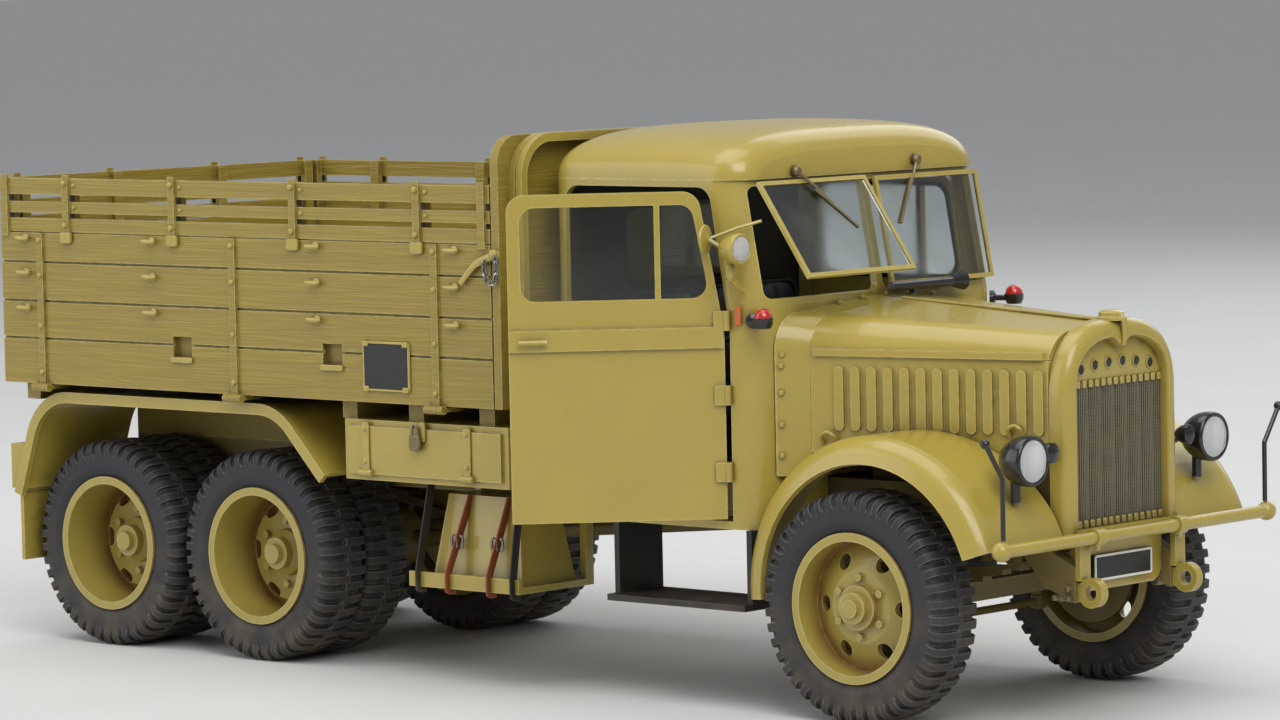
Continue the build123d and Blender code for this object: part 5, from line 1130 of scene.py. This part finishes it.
@dataclass
class RadiatorFront:
    """The radiator's rounded shell with twin arches, its hole plate and its woven core."""

    back_x: float = 80.5
    front_x: float = 83.2
    half_w: float = 11.2
    foot_z: float = 15.2
    sill_z: float = 21.4
    spring_z: float = 37.5
    top_z: float = 47.6
    open_half: float = 9.1
    open_foot_z: float = 22.8
    open_spring_z: float = 39.6
    open_top_z: float = 45.4
    dip: float = 1.3
    round_r: float = 1.4
    plate_x: float = 81.7
    mesh_top_z: float = 40.4
    holes: int = 6
    hole_pitch: float = 2.75
    hole_z: float = 42.4

    def arch(self, half: float, foot: float, spring: float, top: float, power: float, dip: float) -> np.ndarray:
        """An opening's outline: straight legs and the arch |y/half|^n + |z/rise|^n = 1, notched at the middle.

        Args:
            half: half width in mm.
            foot, spring, top: heights of the feet, of the arch's start and of its top.
            power: n, larger for squarer shoulders.
            dip: depth of the notch where two arches meet.

        Returns:
            Points (y, z) from the right foot over the top to the left foot, and back along the sill.
        """
        turn = np.linspace(0, np.pi, 73)
        y = -half * np.sign(np.cos(turn)) * np.abs(np.cos(turn)) ** (2 / power)
        z = spring + (top - spring) * np.sin(turn).clip(0) ** (2 / power) - dip * np.exp(-(y / 1.1) ** 2)
        legs = np.linspace(foot, spring, 13)[:-1]
        right = np.stack([np.full(12, -half), legs], -1)
        sill = np.stack([np.linspace(half, -half, 14)[1:-1], np.full(12, foot)], -1)
        return np.vstack([right, np.stack([y, z], -1), right[::-1] * (-1, 1), sill])

    def shell(self) -> Surface:
        """The shell: a rounded section carried from the outer outline to the opening's.

        Each ring lies a share of the way between the two outlines, at its own depth along x.

        Returns:
            The closed ring.
        """
        outer = self.arch(self.half_w, self.sill_z, self.spring_z, self.top_z, 2.7, 0.0)
        inner = self.arch(self.open_half, self.open_foot_z, self.open_spring_z, self.open_top_z, 2.5, self.dip)
        turn = np.linspace(0, np.pi / 2, 6)
        wide = 0.75
        rings = [(0.0, self.back_x)]
        rings += [(wide * (1 - math.cos(a)), self.front_x - self.round_r * (1 - math.sin(a))) for a in turn]
        rings += [(1 - 0.1 * math.cos(a), self.front_x - 0.35 * (1 - math.cos(a))) for a in turn[1:]]
        rings += [(1.0, self.plate_x - 0.3), (0.35, self.back_x)]
        points = np.stack([np.column_stack([np.full(len(outer), x), outer + share * (inner - outer)])
                           for share, x in rings])
        return grid(points, close_u=True, close_v=True)

    def apron(self) -> Surface:
        """The plate below the opening, down to the plate's bracket."""
        outline = rounded(2 * self.half_w - 5.0, self.sill_z - self.foot_z + 1.2, 1.6)
        middle = (self.front_x - 1.9, 0, (self.sill_z + self.foot_z) / 2 + 0.6)
        return slab(outline, middle, Y_WAY, Z_WAY, 0.9, 0.2)

    def tank(self) -> Surface:
        """The hole plate in the arches: rows between the mesh's top and the arched outline."""
        rim = self.arch(self.open_half + 0.3, self.open_foot_z, self.open_spring_z, self.open_top_z + 0.3, 2.5,
                        self.dip)
        top = rim[12:85]
        rows = np.linspace(0, 1, 7)[:, None]
        y = np.broadcast_to(top[:, 0], (7, len(top)))
        z = self.mesh_top_z - 0.6 + rows * (top[:, 1] - self.mesh_top_z + 0.6)
        front = np.stack([np.full_like(z, self.plate_x) + 0.25 * np.sin(np.pi * rows), y, z], -1)
        return grid(front)

    def hole_places(self) -> np.ndarray:
        """The row of vent holes, a little higher towards the middle."""
        y = (np.arange(self.holes) - (self.holes - 1) / 2) * self.hole_pitch
        return np.stack([np.full(self.holes, self.plate_x + 0.3), y, self.hole_z - 0.012 * y ** 2], -1)

    def mesh(self) -> tuple[Surface, Surface]:
        """The core: a dark back sheet, upright wires and cross wires, in seven shallow bands.

        Both sets of wires bulge forward by 0.16 |cos(7 pi (y / width + 1/2))|.

        Returns:
            The back sheet, and the wires.
        """
        low, high = self.open_foot_z - 0.3, self.mesh_top_z
        y, z = np.meshgrid(np.linspace(-self.open_half - 0.3, self.open_half + 0.3, 3), np.linspace(low, high, 3),
                           indexing="ij")
        sheet = grid(np.stack([np.full_like(y, self.plate_x - 0.25), y, z], -1))
        across = np.linspace(-self.open_half, self.open_half, 53)
        bulge = 0.16 * np.abs(np.cos(7 * np.pi * (across / (2 * self.open_half) + 0.5)))
        post = sweep(circle(0.12, 5), [(0, 0, low), (0, 0, (low + high) / 2), (0, 0, high)])
        upright = scattered(post, np.stack([self.plate_x - 0.02 + bulge, across, np.zeros_like(across)], -1))
        cross = sweep(circle(0.08, 5), np.stack([self.plate_x - 0.1 + bulge, across, np.zeros_like(across)], -1))
        rails = scattered(cross, np.array([(0, 0, z) for z in np.arange(low + 0.4, high, 0.42)]))
        return sheet, upright + rails

    def build(self) -> None:
        """Puts shell, hole plate and core in place of the CAD shell and grille."""
        put("radiator_surround", self.shell() + self.apron(), "paint", replaces=("radiator_shell",))
        sheet, wires = self.mesh()
        put("radiator_core", sheet, "matt_black", recalc=False)
        put("radiator_mesh", wires, "mesh_wire", replaces=("grille",))
        put("radiator_tank", self.tank(), "paint", recalc=False)
        rims = scattered(lathe([(0.72, -0.1), (0.72, 0.06), (0.62, 0.1), (0.58, -0.1)], ORIGIN, X_WAY, 16),
                         self.hole_places())
        put("vent_rims", rims, "paint")
        # black discs on the hole plate stand for the holes' dark insides: painted shade
        discs = scattered(lathe([(0.6, 0.0), (0.3, 0.02), (0.05, 0.03)], ORIGIN, X_WAY, 16), self.hole_places())
        put("vent_hole_shade_discs", discs, "matt_black")
        edge = np.linspace(-self.open_half + 0.4, self.open_half - 0.4, 15)
        tabs = [(self.plate_x + 0.15, y, z) for y in edge
                for z in (self.mesh_top_z - 0.35, self.open_foot_z + 0.5)]
        tab = slab(rounded(0.75, 0.9, 0.2), ORIGIN, Y_WAY, Z_WAY, 0.3, 0.08)
        put("core_tabs", scattered(tab, np.array(tabs)), "paint")


@dataclass
class CabFittings:
    """Inside and side pieces of the cab: bench pads, wheel, indicators, searchlight, mirror and reflector."""

    seat_half: tuple = (6.25, 9.7, 2.15)
    seat_mid: tuple = (21.7, 10.0, 35.2)
    back_half: tuple = (7.3, 9.7, 1.45)
    back_mid: tuple = (15.15, 10.0, 42.3)
    channels: int = 4
    wheel_mid: tuple = (34.5, -11.0, 46.5)
    wheel_r: float = 6.0
    column_foot: tuple = (42.6, -11.0, 29.4)
    indicator: tuple = (47.6, 24.6, 48.0)
    indicator_r: float = 1.25
    indicator_root: tuple = (44.9, 23.3)
    lamp: tuple = (45.6, -26.4, 56.5)
    lamp_r: float = 1.9
    mirror: tuple = (41.2, -27.6, 57.7)
    mirror_r: float = 1.7
    stay: tuple = ((43.4, -24.3, 58.9), (45.3, -21.9, 59.7))
    reflector: tuple = (43.2, -24.05, 48.2)

    def pad(self, half: tuple, crown: float) -> Surface:
        """A stuffed pad: a box-like superellipsoid with a crowned, channelled face.

        Point = half (c(v) c(w), c(v) s(w), s(v)), with sines and cosines raised to 0.3 to 0.45, signs kept.
        The face lifts by crown (1 - x^2)(1 - y^2) and sinks in a narrow groove at each sewn channel.

        Args:
            half: half sizes along x, y and z, in mm.
            crown: lift of the face's middle in mm.

        Returns:
            The closed pad round the origin, its face up.
        """
        v, w = np.meshgrid(np.linspace(-np.pi / 2, np.pi / 2, 61), np.linspace(0, 2 * np.pi, 160, endpoint=False),
                           indexing="ij")
        ring, up = signed_power(np.cos(v), 0.35), signed_power(np.sin(v), 0.45)
        x, y = ring * signed_power(np.cos(w), 0.3), ring * signed_power(np.sin(w), 0.3)
        face = np.clip(up, 0, 1)
        groove = np.abs(np.cos(np.pi * (self.channels * (y + 1) / 2))) ** 40 * (np.abs(y) < 0.93)
        lift = face * (crown * (1 - x ** 2) * (1 - y ** 2) - 0.42 * groove * (1 - x ** 8))
        points = np.stack([half[0] * x * (1 - 0.03 * (1 - y ** 2)), half[1] * y * (1 - 0.02 * (1 - x ** 2)),
                           half[2] * up + lift], -1)
        return grid(points, close_v=True, capped=True)

    def piping(self, half: tuple, lift: float) -> Surface:
        """The welt sewn round a pad's upper edge."""
        edge = rounded(2 * half[0] - 0.3, 2 * half[1] - 0.3, 1.3, 8)
        return wire(np.column_stack([edge, np.full(len(edge), lift)]), 0.2, 6, closed=True)

    def bench(self) -> None:
        """Two seat pads and two back pads side by side, in place of the plain bench."""
        seats, backs, welts = [], [], []
        for side in (RIGHT, LEFT):
            place = (self.seat_mid[0], side * self.seat_mid[1], self.seat_mid[2])
            seats.append(self.pad(self.seat_half, 0.75).moved(*place))
            welts.append(self.piping(self.seat_half, 1.55).moved(*place))
            place = (self.back_mid[0], side * self.back_mid[1], self.back_mid[2])
            backs.append(self.pad(self.back_half, 0.6).turned("Y", 82).moved(*place))
            welts.append(self.piping(self.back_half, 0.95).turned("Y", 82).moved(*place))
        cushion = put("bench_seat", joined(seats), "leather", replaces=("seat",))
        back = put("bench_back", joined(backs), "leather")
        put("bench_welts", joined(welts), "leather")

    def wheel(self) -> Surface:
        """The steering wheel: a rim, four spokes and a boss square to the column."""
        middle, foot = np.array(self.wheel_mid), np.array(self.column_foot)
        axis = (middle - foot) / np.linalg.norm(middle - foot)
        side, up = basis(axis, Y_WAY)
        ring = circle(self.wheel_r, 48)
        rim = wire(middle + ring[:, :1] * side + ring[:, 1:] * up, 0.4, 10, closed=True)
        arms = [wire([middle - 0.4 * axis, middle - 0.1 * axis + 0.5 * self.wheel_r * way,
                      middle + self.wheel_r * way], 0.22, 8) for way in (side, -side, up, -up)]
        boss = lathe([(0.95, -0.9), (0.95, 0.1), (0.7, 0.45), (0.2, 0.6)], self.wheel_mid, tuple(axis), 20)
        return rim + joined(arms) + boss + wire([foot, middle - 0.5 * axis], 0.5, 12)

    def indicators(self) -> tuple[Surface, Surface]:
        """Domed lamps on cups, each on a short arm from the pillar.

        Returns:
            The cups with their arms, and the domes.
        """
        cups, domes = [], []
        radius = self.indicator_r
        for side in (RIGHT, LEFT):
            place = (self.indicator[0], side * self.indicator[1], self.indicator[2])
            cups.append(lathe([(0.3, -1.25), (0.95, -1.15), (1.22, -0.6), (radius, 0.12), (1.05, 0.14)], place,
                              Z_WAY, 24))
            root = (self.indicator_root[0], side * self.indicator_root[1], self.indicator[2] - 0.4)
            cups.append(wire([(place[0], place[1], place[2] - 0.4), root], 0.38, 10))
            cups.append(lathe([(0.95, -0.2), (0.95, 0.35), (0.6, 0.6)], root, (0.8, side * 0.6, 0), 16))
            domes.append(lathe([(r, h + 0.1) for r, h in dome(1.14, 1.2, 8)], place, Z_WAY, 24))
        return joined(cups), joined(domes)

    def searchlight(self) -> tuple[Surface, Surface]:
        """The lamp's bowl on its stem, the mirror's back and their arms.

        Returns:
            The painted metal, and the mirror's glass.
        """
        x, y, z = self.lamp
        r = self.lamp_r
        bowl = lathe([(0.25, -3.0), (0.8, -2.85), (1.4, -2.1), (0.96 * r, -0.9), (r, 0.0)], self.lamp, X_WAY, 32)
        stem = wire(smooth_path([(x - 1.5, y, z - 1.2), (x - 1.6, y + 0.1, z - 2.6), (x - 1.7, y + 1.1, z - 4.4),
                                 (x - 1.5, y + 2.5, z - 5.4)]), 0.38, 10)
        grip = lathe([(0.3, 0.0), (0.62, 0.5), (0.55, 1.9), (0.3, 2.3)], (x - 1.6, y, z - 1.6), (0, 0, -1), 14)
        arm = wire([(x - 2.6, y, z), (self.mirror[0] + 0.4, self.mirror[1], self.mirror[2])], 0.26, 8)
        stay = wire([(self.mirror[0] + 0.3, self.mirror[1] + 0.2, self.mirror[2]), *self.stay], 0.2, 8)
        face = (1.0, 0.3, 0.0)
        back = lathe([(0.4, 0.55), (0.55, 0.4), (1.2, 0.3), (self.mirror_r, 0.1), (self.mirror_r + 0.08, -0.08),
                      (self.mirror_r, -0.2)], self.mirror, face, 32)
        glass = lathe([(self.mirror_r * 0.96, -0.22), (0.8, -0.25), (0.05, -0.26)], self.mirror, face, 32)
        return joined([bowl, stem, grip, arm, stay, back]), glass

    def build(self) -> None:
        """Puts the cab's pieces on the truck."""
        self.bench()
        put("wheel_and_column", self.wheel(), "black", replaces=("steering_wheel",))
        cups, domes = self.indicators()
        put("indicator_cups", cups, "black")
        put("indicator_domes", domes, "red", replaces=("indicators",))
        metal, glass = self.searchlight()
        put("searchlight_body", metal, "paint", replaces=("searchlight",))
        put("mirror_glass", glass, "mirror")
        bezel, dish, lens = lamp_face(self.lamp, X_WAY, self.lamp_r)
        put("searchlight_bezel", bezel, "paint")
        put("searchlight_dish", dish, "mirror")
        put("searchlight_lens", lens, "lens")
        bar = wall_plate(0.9, 2.4, 0.2, self.reflector, 0.35, 0.1)
        put("pillar_reflector", bar, "orange")


@dataclass
class NoseFittings:
    """Lamps, bonnet hardware, scuttle rivets, number plate rim, tow bolts and bumper clamps."""

    lamp: tuple = (83.0, 18.1, 31.9)
    lamp_r: float = 3.0
    knob: tuple = (82.4, 13.7, 32.5)
    rear: tuple = (49.5, -18.2)
    front: tuple = (80.4, -11.2)
    handles: tuple = ((2.6, 33.2), (27.6, 34.6))
    bow: tuple = ((-0.9, -0.7, 0.1), (-0.8, 0.3, 0.8), (0, 0.8, 1.0), (0.8, 0.3, 0.8), (0.9, -0.7, 0.1))
    crown: tuple = ((46.3, 49.75), (49.5, 49.25), (65.0, 48.35), (80.4, 47.45))
    cap: tuple = (81.5, 0.0, 47.35)
    badge: tuple = ((82.3, 0, 48.1), (83.2, 0, 47.5), (83.35, 0, 46.2), (83.25, 0, 44.4))
    bracket: tuple = ((81.4, 10.9, 31.6), (81.6, 12.4, 31.8), (81.9, 13.5, 32.2))
    rivet_x: float = 46.7
    rivet_legs_z: tuple = (31.0, 34.8, 38.7, 42.0)
    scuttle_half: float = 20.45
    scuttle_top: float = 49.45
    shoulder_r: float = 6.5
    plate: tuple = (82.8, 17.95)
    plate_size: tuple = (11.4, 3.1)
    hook_y: float = 9.5
    hook_bolts: tuple = ((82.9, 16.1), (80.9, 14.9), (82.9, 14.9))
    bumper: tuple = (85.1, 22.1)
    clamp_y: float = 8.2

    def on_side(self, run: float, height: float, out: float) -> np.ndarray:
        """A point on the right bonnet side: run along it from its rear end, height, and distance off it."""
        start, end = np.array(self.rear), np.array(self.front)
        way = (end - start) / np.linalg.norm(end - start)
        flat = start + run * way + out * np.array([way[1], -way[0]])
        return np.array([*flat, height])

    def bonnet_irons(self) -> Surface:
        """Pull handles on both sides, the hinge along the crown and the filler cap on the shell."""
        pulls = []
        for run, height in self.handles:
            bow = [self.on_side(run + along, height + rise, out) for along, rise, out in self.bow]
            pulls.append(wire(smooth_path(bow), 0.24, 8))
        sides = joined(pulls)
        spine = smooth_path([(x, 0, z - 0.1) for x, z in self.crown[1:]], 10)
        hinge = sweep(rounded(1.1, 0.42, 0.18), spine)
        cap = lathe([(1.9, 0.0), (1.9, 0.35), (1.55, 0.5), (1.5, 0.95), (1.2, 1.15), (0.3, 1.25)], self.cap,
                    Z_WAY, 28)
        badge = sweep(circle(0.45, 10), smooth_path(list(self.badge)), size=np.linspace(1.1, 0.6, 19))
        return joined([sides, sides.mirrored(), hinge, cap, badge])

    def rivets(self) -> Surface:
        """Rivets round the scuttle's arch: evenly along legs, shoulders and crown."""
        half, top, r = self.scuttle_half, self.scuttle_top, self.shoulder_r
        legs = [(-half, z) for z in self.rivet_legs_z]
        turn = np.radians([165, 135, 108])
        bends = [(-half + r + r * math.cos(a), top - 1.3 - r + r * math.sin(a)) for a in turn]
        crown = [(y, top - 1.35 * abs(y / half) ** 1.6) for y in (-9.2, -4.6)]
        right = [(self.rivet_x, y, z) for y, z in legs + bends + crown]
        places = right + [(x, -y, z) for x, y, z in right] + [(self.rivet_x, 0, top)]
        ball = lathe([(0.1, -0.4), (0.34, -0.25), (0.42, 0.0), (0.34, 0.25), (0.1, 0.4)], ORIGIN, Z_WAY, 10)
        return scattered(ball, np.array(places))

    def plate_rim(self) -> Surface:
        """A raised pale border round the blank plate."""
        edge = rounded(self.plate_size[0] - 0.25, self.plate_size[1] - 0.25, 0.2)
        loop = np.column_stack([np.full(len(edge), self.plate[0] + 0.02), edge[:, 0], self.plate[1] + edge[:, 1]])
        return sweep(rounded(0.3, 0.22, 0.08), loop, up=X_WAY, closed=True)

    def tow_bolts(self) -> Surface:
        """Bolts through each tow hook's root: a shank across, a nut outside and a head inside."""
        parts = []
        for side in (RIGHT, LEFT):
            for x, z in self.hook_bolts:
                start = (x, side * (self.hook_y - 1.0), z)
                parts.append(lathe([(0.62, 0.3), (0.62, 1.75), (0.5, 1.95), (0.36, 2.0), (0.36, 2.9), (0.2, 3.0)],
                                   start, (0, side, 0), 6))
        return joined(parts)

    def clamps(self) -> Surface:
        """Split sleeves where the bumper tube is held, each with a bolt below."""
        parts = []
        for y in (-self.clamp_y, self.clamp_y):
            place = (self.bumper[0], y, self.bumper[1])
            parts.append(lathe([(0.85, -0.8), (1.12, -0.75), (1.12, 0.75), (0.85, 0.8)], place, Y_WAY, 20))
            parts.append(lathe([(0.4, -0.2), (0.4, 0.5), (0.25, 0.6)], (place[0], y, place[2] - 1.0),
                               (0, 0, -1), 8))
        return joined(parts)

    def lamps(self) -> None:
        """Bezels, dishes and lenses of both headlamps, with a small lamp on a bracket beside each."""
        fronts = [lamp_face((self.lamp[0], side * self.lamp[1], self.lamp[2]), X_WAY, self.lamp_r)
                  for side in (RIGHT, LEFT)]
        bezel, dish, lens = (joined(list(row)) for row in zip(*fronts))
        small = []
        for side in (RIGHT, LEFT):
            place = (self.knob[0], side * self.knob[1], self.knob[2])
            small.append(lathe([(0.15, -1.5), (0.7, -1.3), (1.1, -0.6), (1.25, 0.2), (1.2, 0.6), (0.9, 0.75),
                                (0.3, 0.95)], place, X_WAY, 24))
            small.append(wire([(x, side * y, z) for x, y, z in self.bracket], 0.35, 8))
        put("headlamp_bezels", bezel + joined(small), "black")
        put("headlamp_dishes", dish, "mirror")
        put("headlamp_lenses", lens, "lens", replaces=("lamp_lenses",))

    def build(self) -> None:
        """Puts the nose's pieces on the truck."""
        self.lamps()
        put("bonnet_irons", self.bonnet_irons(), "paint")
        put("scuttle_rivets", self.rivets(), "paint")
        put("plate_border", self.plate_rim(), "white")
        put("tow_bolts", self.tow_bolts(), "worn_iron")
        put("bumper_clamps", self.clamps(), "paint")


def main() -> None:
    """Builds the truck's dress in order."""
    logging.basicConfig(level=logging.INFO)
    Studio().build()
    dress_nodes()
    Tyres().build()
    NoseFittings().build()
    CabFittings().build()
    RadiatorFront().build()
    CabRoof().build()
    Stowage().build()
    CargoSides().build()


if __name__ == "__main__":
    main()
